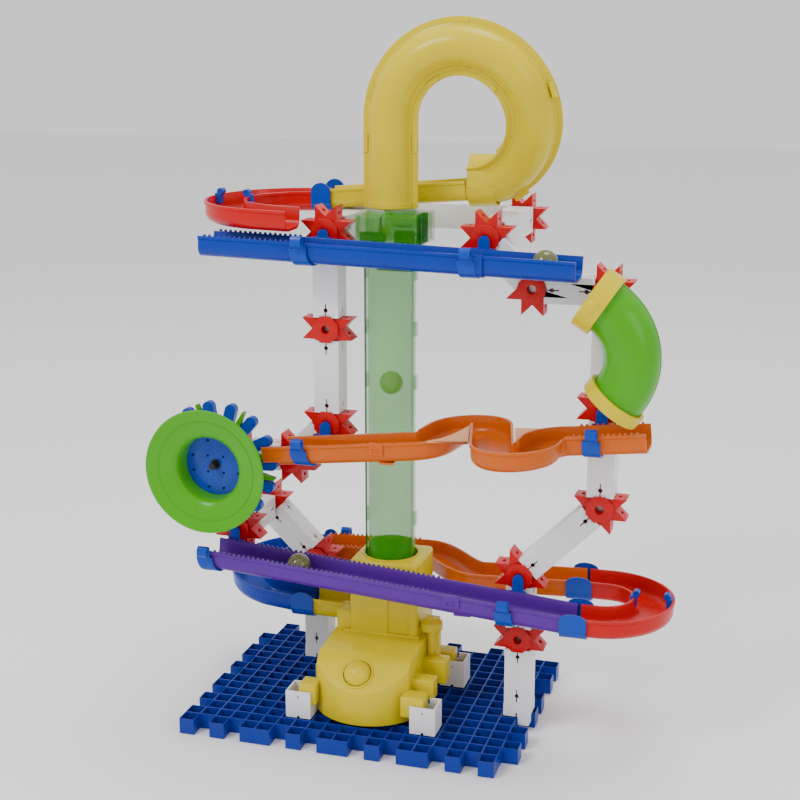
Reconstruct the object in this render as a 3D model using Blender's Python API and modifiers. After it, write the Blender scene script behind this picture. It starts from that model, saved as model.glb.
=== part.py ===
"""Marble run: a blower base lifts marbles up a clear tube, and tracks carry them down again.

Stations along the model are in millimetres, measured from the plate's front left corner:
X to the right, Y into the depth, Z up.  place() turns a station into metres about the origin,
which is the bottom centre of the whole object.
"""
import math

import bmesh
import bpy
from mathutils import Matrix, Vector

# ---------------------------------------------------------------- driving dimensions (mm)
MM = 0.001
GAP = 0.3                     # clearance kept between neighbouring solids
ORIGIN = (168.05, 110.45, 0.0)  # station of the bottom centre of the whole object

CELL = 12.5                   # pitch of the plate's square cells
PLATE_COLS, PLATE_ROWS = 21, 16
PLATE_SEAM = 10               # column whose cells belong to either plate in turn
PLATE_HEIGHT = 12.5
PLATE_WALL = 2.0
FRONT_TEETH = (0, 2, 4, 5, 7, 9, 10, 12, 14, 15, 17, 19)
LEFT_TEETH = (0, 1, 3, 5, 6, 8, 10, 11, 13)

TUBE_SIDE = 20.0              # square frame tube
TUBE_WALL = 1.4
TUBE_END = 8.7                # tube end to connector centre
STAR_TIP = 21.2               # connector's tip radius
STAR_VALLEY = 11.6           # radius of the notch between two tips
STAR_DEPTH = 16.6
HUB_APOTHEM = 11.0
HUB_DEPTH = 23.6
HUB_HOLE = 4.0

TRACK_WIDTH = 32.0
TRACK_DEPTH = 15.6
TRACK_WALL = 1.9
FRONT_Y = 56.0                # centre line of the front tracks
PLANE_FRONT, PLANE_MIDDLE, PLANE_REAR = 87.0, 148.0, 209.0

TOWER = (138.8, 109.0)        # axis of the lift tube
LIFT_RADIUS = 20.7
LIFT_BOTTOM, LIFT_TOP = 114.0, 398.0
LOOP_RADIUS = 52.2
LOOP_CENTRE_Z = 465.5
LOOP_TUBE = 15.1
LOOP_FLANGE = 21.0
EXIT_Y = 150.5

MARBLE_RADIUS = 9.2
WHEEL = (19.2, 207.0)         # wheel axis, X and Z
AXLE_RADIUS = 2.6
SHELL = 2.2                   # wall of the blower housing
PANEL_SLOPE = math.atan(0.8)  # slant of the housing's front panel

# Connector centres in X and Z, by frame plane
FRONT_STARS = {
    "left_low": (19.6, 144.0), "left_mid": (66.5, 205.0), "left_knee": (97.0, 235.5),
    "left_upper": (97.0, 309.5), "left_top": (97.0, 383.0), "right_top": (219.5, 383.0),
    "right_shoulder": (254.5, 348.0), "right_corner": (308.5, 348.0),
    "right_upper": (308.5, 262.0), "right_mid": (308.5, 187.0),
    "right_knee": (249.5, 128.0), "right_low": (249.5, 77.0),
}
MIDDLE_STARS = {"rear_low": (63.6, 100.0), "rear_mid": (19.6, 144.0)}


def place(x, y, z):
    """Station in mm to metres about the object's origin."""
    return Vector(((x - ORIGIN[0]) * MM, (y - ORIGIN[1]) * MM, (z - ORIGIN[2]) * MM))


# ---------------------------------------------------------------- scene helpers
for old in list(bpy.data.objects):
    bpy.data.objects.remove(old, do_unlink=True)

PARTS = bpy.data.collections.new("marble_run")
CUTTERS = bpy.data.collections.new("cutters")
bpy.context.scene.collection.children.link(PARTS)
bpy.context.scene.collection.children.link(CUTTERS)


def plastic(name, color, roughness=0.32, alpha=1.0):
    """Principled material of a moulded plastic."""
    material = bpy.data.materials.new(name)
    material.use_nodes = True
    shader = material.node_tree.nodes["Principled BSDF"]
    shader.inputs["Base Color"].default_value = (*color, 1.0)
    shader.inputs["Roughness"].default_value = roughness
    shader.inputs["Metallic"].default_value = 0.0
    shader.inputs["Alpha"].default_value = alpha
    return material


BLUE = (0.02, 0.11, 0.52)
RED = (0.72, 0.02, 0.03)
YELLOW = (0.95, 0.72, 0.02)
ORANGE = (0.90, 0.22, 0.02)
PURPLE = (0.19, 0.06, 0.45)
GREEN = (0.16, 0.55, 0.05)
WHITE = (0.78, 0.78, 0.80)
DARK = (0.05, 0.05, 0.06)
STEEL = (0.55, 0.56, 0.58)


def add_part(name, mesh, color, roughness=0.32, alpha=1.0, location=None):
    """Link a mesh as a named part with a material of its own."""
    mesh.materials.clear()
    mesh.materials.append(plastic(name, color, roughness, alpha))
    obj = bpy.data.objects.new(name, mesh)
    if location is not None:
        obj.location = location
    PARTS.objects.link(obj)
    return obj


def add_helper(mesh):
    """Link a mesh as a hidden cutter or operand."""
    obj = bpy.data.objects.new("cutter", mesh)
    obj.hide_render = True
    obj.display_type = "WIRE"
    CUTTERS.objects.link(obj)
    return obj


def boolean(obj, mesh, operation):
    """Join a mesh to an object, or cut it away."""
    modifier = obj.modifiers.new(operation.lower(), "BOOLEAN")
    modifier.operation = operation
    modifier.solver = "EXACT"
    modifier.object = add_helper(mesh)


def smooth(mesh, degrees=35.0):
    """Smooth shading with the edges sharper than the angle kept."""
    mesh.shade_smooth()
    mesh.set_sharp_from_angle(angle=math.radians(degrees))


# ---------------------------------------------------------------- shape helpers (stations in mm)
def mesh_from(bm, name="shape"):
    bmesh.ops.recalc_face_normals(bm, faces=bm.faces)
    mesh = bpy.data.meshes.new(name)
    bm.to_mesh(mesh)
    bm.free()
    return mesh


def box(low, high):
    """Box between two stations."""
    bm = bmesh.new()
    middle = [(a + b) / 2 for a, b in zip(low, high)]
    size = [(b - a) * MM for a, b in zip(low, high)]
    matrix = Matrix.Translation(place(*middle)) @ Matrix.Diagonal((*size, 1.0))
    bmesh.ops.create_cube(bm, size=1.0, matrix=matrix)
    return mesh_from(bm)


def turn_to(axis):
    """Rotation that takes +Z to the given direction."""
    return Vector((0, 0, 1)).rotation_difference(Vector(axis)).to_matrix().to_4x4()


def cylinder(centre, axis, radius, length, sides=24, radius_top=None):
    """Cylinder or cone about a station, along an axis."""
    bm = bmesh.new()
    top = radius if radius_top is None else radius_top
    bmesh.ops.create_cone(bm, cap_ends=True, segments=sides, radius1=radius * MM, radius2=top * MM,
                          depth=length * MM, matrix=Matrix.Translation(place(*centre)) @ turn_to(axis))
    mesh = mesh_from(bm)
    smooth(mesh)
    return mesh


def mesh_of_curve(curve):
    """Mesh of a curve object's evaluated shape, with its caps welded; the object is removed."""
    obj = bpy.data.objects.new("curve", curve)
    bpy.context.scene.collection.objects.link(obj)
    bpy.context.view_layer.update()
    evaluated = obj.evaluated_get(bpy.context.evaluated_depsgraph_get())
    mesh = bpy.data.meshes.new_from_object(evaluated)
    bpy.data.objects.remove(obj, do_unlink=True)
    bm = bmesh.new()
    bm.from_mesh(mesh)
    bmesh.ops.remove_doubles(bm, verts=bm.verts, dist=1e-6)
    bmesh.ops.recalc_face_normals(bm, faces=bm.faces)
    bm.to_mesh(mesh)
    bm.free()
    return mesh


def add_spline(curve, points, cyclic):
    spline = curve.splines.new("POLY")
    spline.points.add(len(points) - 1)
    for target, point in zip(spline.points, points):
        target.co = (*point, 1.0)
    spline.use_cyclic_u = cyclic


def prism(outline, depth, matrix):
    """Flat outline in mm, extruded about its plane by depth, then moved by the matrix."""
    curve = bpy.data.curves.new("outline", "CURVE")
    curve.dimensions = "2D"
    curve.fill_mode = "BOTH"
    curve.extrude = depth * MM / 2
    add_spline(curve, [(x * MM, y * MM, 0.0) for x, y in outline], True)
    mesh = mesh_of_curve(curve)
    mesh.transform(matrix)
    return mesh


def facing_front(x, y, z):
    """Matrix that stands an outline up in the XZ plane at a station."""
    return Matrix.Translation(place(x, y, z)) @ Matrix.Rotation(math.pi / 2, 4, "X")


def sweep(path, outline, twist):
    """Outline in mm swept along a path of stations, with filled ends."""
    section = bpy.data.curves.new("section", "CURVE")
    section.dimensions = "2D"
    add_spline(section, [(x * MM, y * MM, 0.0) for x, y in outline], True)
    section_object = bpy.data.objects.new("section", section)
    bpy.context.scene.collection.objects.link(section_object)
    curve = bpy.data.curves.new("path", "CURVE")
    curve.dimensions = "3D"
    curve.twist_mode = twist
    curve.bevel_mode = "OBJECT"
    curve.bevel_object = section_object
    curve.use_fill_caps = True
    add_spline(curve, [place(*point) for point in path], False)
    mesh = mesh_of_curve(curve)
    bpy.data.objects.remove(section_object, do_unlink=True)
    return mesh


def pipe(path, radius, resolution, filled=False):
    """Round pipe surface along a path of stations, open unless filled."""
    curve = bpy.data.curves.new("pipe", "CURVE")
    curve.dimensions = "3D"
    curve.bevel_depth = radius * MM
    curve.bevel_resolution = resolution
    curve.use_fill_caps = filled
    add_spline(curve, [place(*point) for point in path], False)
    mesh = mesh_of_curve(curve)
    smooth(mesh)
    return mesh


def solidify(obj, thickness, offset=-1.0):
    modifier = obj.modifiers.new("shell", "SOLIDIFY")
    modifier.thickness = thickness * MM
    modifier.offset = offset
    modifier.use_even_offset = True


def arc(centre, radius, start, end, steps):
    """Points on a circular arc, angles in degrees."""
    points = []
    for step in range(steps + 1):
        angle = math.radians(start + (end - start) * step / steps)
        points.append((centre[0] + radius * math.cos(angle), centre[1] + radius * math.sin(angle)))
    return points


# ---------------------------------------------------------------- base plates
def plate_cells(left):
    """Cells of one plate: its body, its edge teeth and its turn of the seam column."""
    cells = set()
    for column in range(PLATE_COLS):
        for row in range(PLATE_ROWS):
            on_edge_x = column in (0, PLATE_COLS - 1)
            on_edge_y = row in (0, PLATE_ROWS - 1)
            if on_edge_x and on_edge_y and (column, row) != (0, 0):
                continue
            if row == 0 and column not in FRONT_TEETH:
                continue
            if row == PLATE_ROWS - 1 and column in FRONT_TEETH:
                continue
            if column == 0 and row not in LEFT_TEETH:
                continue
            if column == PLATE_COLS - 1 and row in LEFT_TEETH:
                continue
            if column == PLATE_SEAM:
                mine = (row % 2 == 0) == left
            else:
                mine = (column < PLATE_SEAM) == left
            if mine:
                cells.add((column, row))
    return cells


def base_plate(name, left):
    """Plate of open square cells, its outline drawn in by half the gap to the other plate."""
    cells = plate_cells(left)
    bm = bmesh.new()
    bmesh.ops.create_grid(bm, x_segments=PLATE_COLS, y_segments=PLATE_ROWS, size=0.5)
    for vertex in bm.verts:
        x = (vertex.co.x + 0.5) * PLATE_COLS * CELL
        y = (vertex.co.y + 0.5) * PLATE_ROWS * CELL
        vertex.co = place(x, y, 0.0)
    unused = []
    for face in bm.faces:
        middle = face.calc_center_median() / MM + Vector(ORIGIN)
        if (int(middle.x // CELL), int(middle.y // CELL)) not in cells:
            unused.append(face)
    bmesh.ops.delete(bm, geom=unused, context="FACES")
    rim = bmesh.ops.inset_region(bm, faces=bm.faces[:], thickness=GAP / 2 * MM, use_boundary=True,
                                 use_even_offset=True)
    bmesh.ops.delete(bm, geom=rim["faces"], context="FACES")
    floors = bm.faces[:]
    bmesh.ops.inset_individual(bm, faces=floors, thickness=PLATE_WALL / 2 * MM)
    bmesh.ops.delete(bm, geom=floors, context="FACES")
    plate = add_part(name, mesh_from(bm), BLUE)
    solidify(plate, PLATE_HEIGHT, offset=1.0)
    return plate


# ---------------------------------------------------------------- frame
def square_tube(start, end, trim_start=TUBE_END, trim_end=TUBE_END):
    """Surface of a square tube between two stations, its ends trimmed and open."""
    a, b = Vector(start), Vector(end)
    direction = (b - a).normalized()
    a += direction * trim_start
    b -= direction * trim_end
    length = (b - a).length
    bm = bmesh.new()
    bmesh.ops.create_cube(bm, size=1.0)
    ends = [face for face in bm.faces if abs(face.normal.z) > 0.5]
    bmesh.ops.delete(bm, geom=ends, context="FACES_ONLY")
    scale = Matrix.Diagonal((TUBE_SIDE * MM, TUBE_SIDE * MM, length * MM, 1.0))
    if abs(direction.y) > 0.5:
        turn = Matrix.Rotation(-math.pi / 2, 4, "X")
    else:
        turn = Matrix.Rotation(math.atan2(direction.x, direction.z), 4, "Y")
    middle = (a + b) / 2
    bmesh.ops.transform(bm, matrix=Matrix.Translation(place(*middle)) @ turn @ scale, verts=bm.verts)
    return mesh_from(bm)


def frame_tube(name, start, end, trim_start=TUBE_END, trim_end=TUBE_END):
    tube = add_part(name, square_tube(start, end, trim_start, trim_end), WHITE)
    solidify(tube, TUBE_WALL)
    return tube


def star_outline():
    """Eight-pointed outline of a connector, tips beside the four main directions."""
    points = []
    for corner in range(16):
        radius = STAR_TIP if corner % 2 else STAR_VALLEY
        angle = math.radians(22.5 * corner)
        points.append((radius * math.cos(angle), radius * math.sin(angle)))
    return points


def hub(depth, apothem, hole):
    """Octagonal hub in the connector's own coordinates."""
    bm = bmesh.new()
    radius = apothem / math.cos(math.radians(22.5)) * MM
    matrix = Matrix.Rotation(math.pi / 2, 4, "X") @ Matrix.Rotation(math.radians(22.5), 4, "Z")
    if hole:
        radius = apothem * MM
        bmesh.ops.create_cone(bm, cap_ends=True, segments=10, radius1=radius, radius2=radius,
                              depth=depth * MM, matrix=matrix)
    else:
        bmesh.ops.create_cone(bm, cap_ends=True, segments=8, radius1=radius, radius2=radius,
                              depth=depth * MM, matrix=matrix)
    return bm


def connector_mesh():
    """Red connector: star, raised hub plates on both faces and a round hole through."""
    shape = prism(star_outline(), STAR_DEPTH, Matrix.Rotation(math.pi / 2, 4, "X"))
    body = bpy.data.objects.new("connector_shape", shape)
    CUTTERS.objects.link(body)
    plate_depth = (HUB_DEPTH - TUBE_SIDE - 2 * GAP) / 2
    boolean(body, mesh_from(hub(HUB_DEPTH - plate_depth, TUBE_END - GAP - 0.4, False)), "UNION")
    for side in (-1, 1):
        plate = hub(plate_depth, HUB_APOTHEM, False)
        shift = side * (HUB_DEPTH - plate_depth) / 2 * MM
        bmesh.ops.translate(plate, verts=plate.verts, vec=(0, shift, 0))
        boolean(body, mesh_from(plate), "UNION")
    boolean(body, mesh_from(hub(HUB_DEPTH * 2, HUB_HOLE, True)), "DIFFERENCE")
    bpy.context.view_layer.update()
    evaluated = body.evaluated_get(bpy.context.evaluated_depsgraph_get())
    mesh = bpy.data.meshes.new_from_object(evaluated)
    bpy.data.objects.remove(body, do_unlink=True)
    return mesh


def add_connectors():
    shape = connector_mesh()
    for plane, stars in ((PLANE_FRONT, FRONT_STARS), (PLANE_MIDDLE, MIDDLE_STARS)):
        for name, (x, z) in stars.items():
            add_part("connector_" + name, shape.copy(), RED, location=place(x, plane, z))
    return shape


def moved(mesh, location):
    copy = mesh.copy()
    copy.transform(Matrix.Translation(location))
    return copy


def front(name):
    x, z = FRONT_STARS[name]
    return (x, PLANE_FRONT, z)


def middle(name):
    x, z = MIDDLE_STARS[name]
    return (x, PLANE_MIDDLE, z)


def add_tubes():
    """Single frame tubes between neighbouring connectors."""
    runs = (
        ("tube_rear_diagonal", middle("rear_low"), middle("rear_mid")),
        ("tube_knee_left", front("left_mid"), front("left_knee")),
        ("tube_left_lower", front("left_knee"), front("left_upper")),
        ("tube_left_upper", front("left_upper"), front("left_top")),
        ("tube_right_top_diagonal", front("right_top"), front("right_shoulder")),
        ("tube_right_top", front("right_shoulder"), front("right_corner")),
        ("tube_right_upper", front("right_upper"), front("right_corner")),
        ("tube_right_middle", front("right_mid"), front("right_upper")),
        ("tube_right_diagonal", front("right_knee"), front("right_mid")),
        ("tube_right_lower", front("right_low"), front("right_knee")),
    )
    for name, start, end in runs:
        at_square_corner = name == "tube_right_upper"
        frame_tube(name, start, end, trim_end=TUBE_SIDE / 2 + GAP if at_square_corner else TUBE_END)
    link = HUB_DEPTH / 2 + GAP
    frame_tube("tube_depth_link", front("left_low"), middle("rear_mid"), link, link)


def foot_post(name, x, y, top_station, leg=None):
    """Post on a foot block that stands on the plate, with a leg outside the plate if given."""
    bottom = PLATE_HEIGHT + GAP
    half = TUBE_SIDE / 2
    post = add_part(name, square_tube((x, y, bottom), (x, y, top_station), 0.0), WHITE)
    solidify(post, TUBE_WALL)
    collar_height = 10.0
    lip = 0.3
    block = box((x - half - lip, y - half - lip, bottom), (x + half + lip, y + half + lip, bottom + collar_height))
    boolean(post, block, "UNION")
    inner = half - TUBE_WALL
    boolean(post, box((x - inner, y - inner, 0), (x + inner, y + inner, bottom + 2 * collar_height)), "DIFFERENCE")
    if leg:
        boolean(post, box(*leg), "UNION")


def add_posts():
    x, z = MIDDLE_STARS["rear_low"]
    foot_post("post_left", x, PLANE_MIDDLE, z)
    x, z = FRONT_STARS["right_low"]
    leg_low = (250.6, PLANE_FRONT - 9.8, 6.0)
    leg_high = (x + 9.8, PLANE_FRONT - 0.2, PLATE_HEIGHT + 2.0)
    foot_post("post_right", x, PLANE_FRONT, z, leg=(leg_low, leg_high))


def rear_frame(connector):
    """Rear beam with its two connectors and the links that reach forward, one rigid piece."""
    left = (FRONT_STARS["left_top"][0], PLANE_REAR, FRONT_STARS["left_top"][1])
    right = (FRONT_STARS["right_top"][0], PLANE_REAR, FRONT_STARS["right_top"][1])
    obj = add_part("rear_frame", square_tube(left, right, TUBE_END - 1, TUBE_END - 1), WHITE)
    solidify(obj, TUBE_WALL)
    for station in (left, right):
        boolean(obj, moved(connector, place(*station)), "UNION")
        ahead = (station[0], PLANE_FRONT, station[2])
        link = bpy.data.objects.new("link", square_tube(ahead, station, HUB_DEPTH / 2 + GAP, HUB_DEPTH / 2 - 1))
        CUTTERS.objects.link(link)
        link.hide_render = True
        link.display_type = "WIRE"
        solidify(link, TUBE_WALL)
        modifier = obj.modifiers.new("union", "BOOLEAN")
        modifier.operation = "UNION"
        modifier.solver = "EXACT"
        modifier.object = link


def wheel_mount(connector):
    """Hidden connector behind the wheel with its two tubes and the boss that spaces the wheel."""
    x, z = WHEEL[0], FRONT_STARS["left_mid"][1]
    hub_station = (x, PLANE_FRONT, z)
    obj = add_part("wheel_mount", moved(connector, place(*hub_station)), RED)
    down = FRONT_STARS["left_low"]
    across = FRONT_STARS["left_mid"]
    for end in ((down[0], PLANE_FRONT, down[1]), (across[0], PLANE_FRONT, across[1])):
        start = (end[0], PLANE_FRONT, z) if end[2] < z - 1 else hub_station
        tube = bpy.data.objects.new("mount_tube", square_tube(start, end, TUBE_END - 1, TUBE_END))
        CUTTERS.objects.link(tube)
        tube.hide_render = True
        tube.display_type = "WIRE"
        solidify(tube, TUBE_WALL)
        modifier = obj.modifiers.new("union", "BOOLEAN")
        modifier.operation = "UNION"
        modifier.solver = "EXACT"
        modifier.object = tube
    hub_front = PLANE_FRONT - HUB_DEPTH / 2
    boss_front = 55.0
    boss_middle = (x, (hub_front + boss_front) / 2 + 0.5, WHEEL[1])
    boolean(obj, cylinder(boss_middle, (0, 1, 0), 7.0, hub_front - boss_front + 1.0, 16), "UNION")
    axle_front, axle_back = 34.0, PLANE_FRONT
    axle_middle = (x, (axle_front + axle_back) / 2, WHEEL[1])
    boolean(obj, cylinder(axle_middle, (0, 1, 0), AXLE_RADIUS, axle_back - axle_front, 12), "UNION")


# ---------------------------------------------------------------- tracks
def trough_outline():
    """Cross-section of a track: open top, rounded bottom corners."""
    half, wall, depth = TRACK_WIDTH / 2, TRACK_WALL, TRACK_DEPTH
    corner = 7.0
    outer = [(half, 0.0)]
    outer += arc((half - corner, corner - depth), corner, 0, -90, 2)
    outer += arc((corner - half, corner - depth), corner, -90, -180, 2)
    outer.append((-half, 0.0))
    inner = [(-half + wall, 0.0)]
    inner += arc((corner - half, corner - depth), corner - wall, 180, 270, 2)
    inner += arc((half - corner, corner - depth), corner - wall, 270, 360, 2)
    inner.append((half - wall, 0.0))
    return outer + inner


def track(name, path, color):
    return add_part(name, sweep(path, trough_outline(), "Z_UP"), color)


def add_bracket(obj, x, rim_z, hub_z, track_y=FRONT_Y, side=1):
    """Strap round a track with a plate that pegs into a connector's hub on the given side."""
    half = TRACK_WIDTH / 2
    thick = 1.6
    length = 6.0
    under = rim_z - TRACK_DEPTH
    near, far = track_y - side * (half + thick), track_y + side * (half + thick)
    low, high = min(near, far), max(near, far)
    shapes = (
        ((x - length, low, under - thick), (x + length, high, under + 1.0)),
        ((x - length, low, under - thick), (x + length, low + thick + 0.5, rim_z + 1.5)),
        ((x - length, high - thick - 0.5, under - thick), (x + length, high, rim_z + 1.5)),
    )
    for shape_low, shape_high in shapes:
        boolean(obj, box(shape_low, shape_high), "UNION")
    face = track_y + side * (half + thick)
    arch_radius = 5.6
    boolean(obj, cylinder((x, face - side * thick / 2, hub_z), (0, 1, 0), arch_radius, thick, 12), "UNION")
    inner_face = face - side * thick
    plate_low = (x - arch_radius + 0.3, min(face, inner_face) + 0.1, min(under, hub_z))
    plate_high = (x + arch_radius - 0.3, max(face, inner_face) - 0.1, max(rim_z, hub_z))
    boolean(obj, box(plate_low, plate_high), "UNION")
    boolean(obj, cylinder((x, face + side * 5.0, hub_z), (0, 1, 0), HUB_HOLE - 0.5, 10.5, 10), "UNION")


def slope_between(start, end, x):
    """Rim height on a straight run, at a given X."""
    return start[2] + (end[2] - start[2]) * (x - start[0]) / (end[0] - start[0])


def turn_points(centre, radius, start, end, z_start, z_end, steps):
    """Stations round a flat turn whose rim falls evenly."""
    points = []
    for step, (x, y) in enumerate(arc(centre, radius, start, end, steps)):
        points.append((x, y, z_start + (z_end - z_start) * step / steps))
    return points


def wave(x, x_start, x_end):
    """Smooth step from 0 to 1 between two values."""
    t = min(max((x - x_start) / (x_end - x_start), 0.0), 1.0)
    return t * t * (3 - 2 * t)


BLUE_TRACK = ((11.0, FRONT_Y, 381.8), (292.0, FRONT_Y, 374.4))
PURPLE_TRACK = ((8.0, FRONT_Y, 136.6), (296.0, FRONT_Y, 114.2))
EXIT_TRACK = ((188.8, EXIT_Y, 417.8), (75.0, EXIT_Y, 408.2))


def add_straight_tracks():
    track("exit_track", EXIT_TRACK, YELLOW)
    blue = track("upper_track", BLUE_TRACK, BLUE)
    for star in ("left_top", "right_top"):
        x, z = FRONT_STARS[star]
        add_bracket(blue, x, slope_between(*BLUE_TRACK, x), z)
    purple = track("lower_track", PURPLE_TRACK, PURPLE)
    for star in ("left_low", "right_knee"):
        x, z = FRONT_STARS[star]
        add_bracket(purple, x, slope_between(*PURPLE_TRACK, x), z)


BEND_RADIUS = 17.0
MIDDLE_ENDS = ((57.0, FRONT_Y), (344.0, FRONT_Y))
MIDDLE_BENDS = ((170.0, 73.0), (207.0, 86.0), (254.0, 34.0), (288.0, 39.0))
REAR_Y_RIGHT, REAR_Y_LEFT = 133.0, 179.0


def swing_path(ends, centres, steps):
    """Plan of a track that swings round its bend centres, turning left first and right next."""
    headings = [0.0]
    left = True
    for first, second in zip(centres, centres[1:]):
        across = (second[0] - first[0], second[1] - first[1])
        tilt = math.degrees(math.asin(2 * BEND_RADIUS / math.hypot(*across)))
        headings.append(math.degrees(math.atan2(across[1], across[0])) + (tilt if left else -tilt))
        left = not left
    headings.append(0.0)
    points = [ends[0]]
    left = True
    for centre, heading_in, heading_out in zip(centres, headings, headings[1:]):
        quarter = -90 if left else 90
        points += arc(centre, BEND_RADIUS, heading_in + quarter, heading_out + quarter, steps)
        left = not left
    return points + [ends[1]]


def middle_rim(x):
    """Rim height of the middle track at a given X."""
    low, high = (57.0, 223.6), (344.0, 256.8)
    return low[1] + (high[1] - low[1]) * (x - low[0]) / (high[0] - low[0])


def add_middle_track():
    plan = swing_path(MIDDLE_ENDS, MIDDLE_BENDS, 7)
    obj = track("middle_track", [(x, y, middle_rim(x)) for x, y in plan], ORANGE)
    for star in ("left_knee", "right_upper"):
        x, z = FRONT_STARS[star]
        add_bracket(obj, x, middle_rim(x), z)
    reach = 51.0
    sweep_low, sweep_high = FRONT_Y - TRACK_WIDTH / 2 + TRACK_WALL, FRONT_Y + TRACK_WIDTH / 2 + 1.0
    centre = (WHEEL[0], (sweep_low + sweep_high) / 2, WHEEL[1])
    boolean(obj, cylinder(centre, (0, 1, 0), reach, sweep_high - sweep_low, 32), "DIFFERENCE")


def rear_rim(x):
    """Rim height of the rear track at a given X."""
    return 103.5 + (x - 58.0) * (113.6 - 103.5) / (290.0 - 58.0)


def add_rear_track():
    stations = [58.0] + list(range(146, 212, 8)) + [290.0]
    path = [(x, REAR_Y_LEFT + (REAR_Y_RIGHT - REAR_Y_LEFT) * wave(x, 146, 206), rear_rim(x)) for x in stations]
    obj = track("rear_track", path, ORANGE)
    x, z = MIDDLE_STARS["rear_low"]
    add_bracket(obj, x, rear_rim(x), z, REAR_Y_LEFT, side=-1)


def add_turns():
    """The three half turns that hand marbles from one level to the next."""
    radius = (EXIT_Y - FRONT_Y) / 2
    centre = (58.0, (EXIT_Y + FRONT_Y) / 2)
    path = [(72.0, EXIT_Y, 406.6)] + turn_points(centre, radius, 90, 270, 406.0, 402.6, 11)
    track("upper_turn", path + [(80.0, FRONT_Y, 402.0)], RED)

    radius = (REAR_Y_RIGHT - FRONT_Y) / 2
    centre = (311.0, (REAR_Y_RIGHT + FRONT_Y) / 2)
    path = [(298.5, FRONT_Y, 114.0)] + turn_points(centre, radius, -90, 90, 114.0, 113.8, 11)
    track("right_turn", path + [(292.5, REAR_Y_RIGHT, 113.6)], RED)

    front_y = 120.5
    radius = (REAR_Y_LEFT - front_y) / 2
    centre = (32.0, (REAR_Y_LEFT + front_y) / 2)
    path = [(55.5, REAR_Y_LEFT, 103.0)] + turn_points(centre, radius, 90, 270, 100.0, 82.0, 11)
    track("left_turn", path + [(66.0, front_y, 79.0)], BLUE)


# ---------------------------------------------------------------- lift tube, loop and side tube
def add_lift():
    x, y = TOWER
    tube = add_part("lift_tube", pipe(((x, y, LIFT_BOTTOM), (x, y, LIFT_TOP)), LIFT_RADIUS, 8), GREEN, 0.1, 0.4)
    solidify(tube, 1.6)
    collar = add_part("tube_collar", box((x - 26, y - 25, 372), (x + 31, y + 25, 396)), GREEN, 0.1, 0.4)
    bevel = collar.modifiers.new("corners", "BEVEL")
    bevel.width = 4.0 * MM
    bevel.segments = 1
    boolean(collar, cylinder((x, y, 384), (0, 0, 1), LIFT_RADIUS + GAP, 60, 32), "DIFFERENCE")
    boolean(collar, box((x - 30, y - 30, 370), (x - 21.5, y - 13.0, 400)), "DIFFERENCE")


def loop_path():
    """Centre line of the loop: up the leg, over clockwise, and out leftwards behind the leg."""
    x, y = TOWER
    centre_x = x + LOOP_RADIUS
    path = [(x, y, LIFT_TOP + 1.0)]
    for px, pz in arc((centre_x, LOOP_CENTRE_Z), LOOP_RADIUS, 180, -90, 22):
        angle = math.degrees(math.atan2(pz - LOOP_CENTRE_Z, px - centre_x))
        if angle > 179:
            depth = y
        else:
            depth = y + (EXIT_Y - y) * wave(angle, 75, -90)
        path.append((px, depth, pz))
    return path


def loop_outline(side):
    """Half of the loop's tube with its two seam flanges, on one side of the seam plane."""
    inner = LOOP_TUBE - 1.8
    seam = GAP / 2
    flange = 1.3
    start = math.degrees(math.asin((seam + flange) / LOOP_TUBE))
    outer_arc = arc((0, 0), LOOP_TUBE, start, 180 - start, 7)
    inner_start = math.degrees(math.asin(seam / inner))
    inner_arc = arc((0, 0), inner, 180 - inner_start, inner_start, 7)
    points = [(LOOP_FLANGE, seam), (LOOP_FLANGE, seam + flange)] + outer_arc
    points += [(-LOOP_FLANGE, seam + flange), (-LOOP_FLANGE, seam)] + inner_arc
    return [(u, side * v) for u, v in points]


def add_loop():
    path = loop_path()
    for name, side in (("loop_front_shell", 1), ("loop_rear_shell", -1)):
        obj = add_part(name, sweep(path, loop_outline(side), "MINIMUM"), YELLOW)
        smooth(obj.data)


SIDE_TUBE_Y = 50.0
SIDE_TUBE_CENTRE = (288.0, 306.5)
SIDE_TUBE_RADIUS = 44.0


def add_side_tube():
    """Green elbow that drops marbles from the upper track, with a yellow collar at each end."""
    points = arc(SIDE_TUBE_CENTRE, SIDE_TUBE_RADIUS, 57, -38, 9)
    path = [(x, SIDE_TUBE_Y, z) for x, z in points]
    tube = add_part("side_tube", pipe(path, 20.0, 6), GREEN)
    solidify(tube, 1.8)
    for name, angle, length in (("side_collar_top", 57, 13.0), ("side_collar_bottom", -38, -8.0)):
        x, z = arc(SIDE_TUBE_CENTRE, SIDE_TUBE_RADIUS, angle, angle, 1)[0]
        along = Vector((-math.sin(math.radians(angle)), 0, math.cos(math.radians(angle))))
        start = Vector((x, SIDE_TUBE_Y, z)) - along * math.copysign(2.0, length)
        end = start + along * length
        collar = add_part(name, pipe((start, end), 23.4, 6), YELLOW)
        solidify(collar, 2.8)


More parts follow.
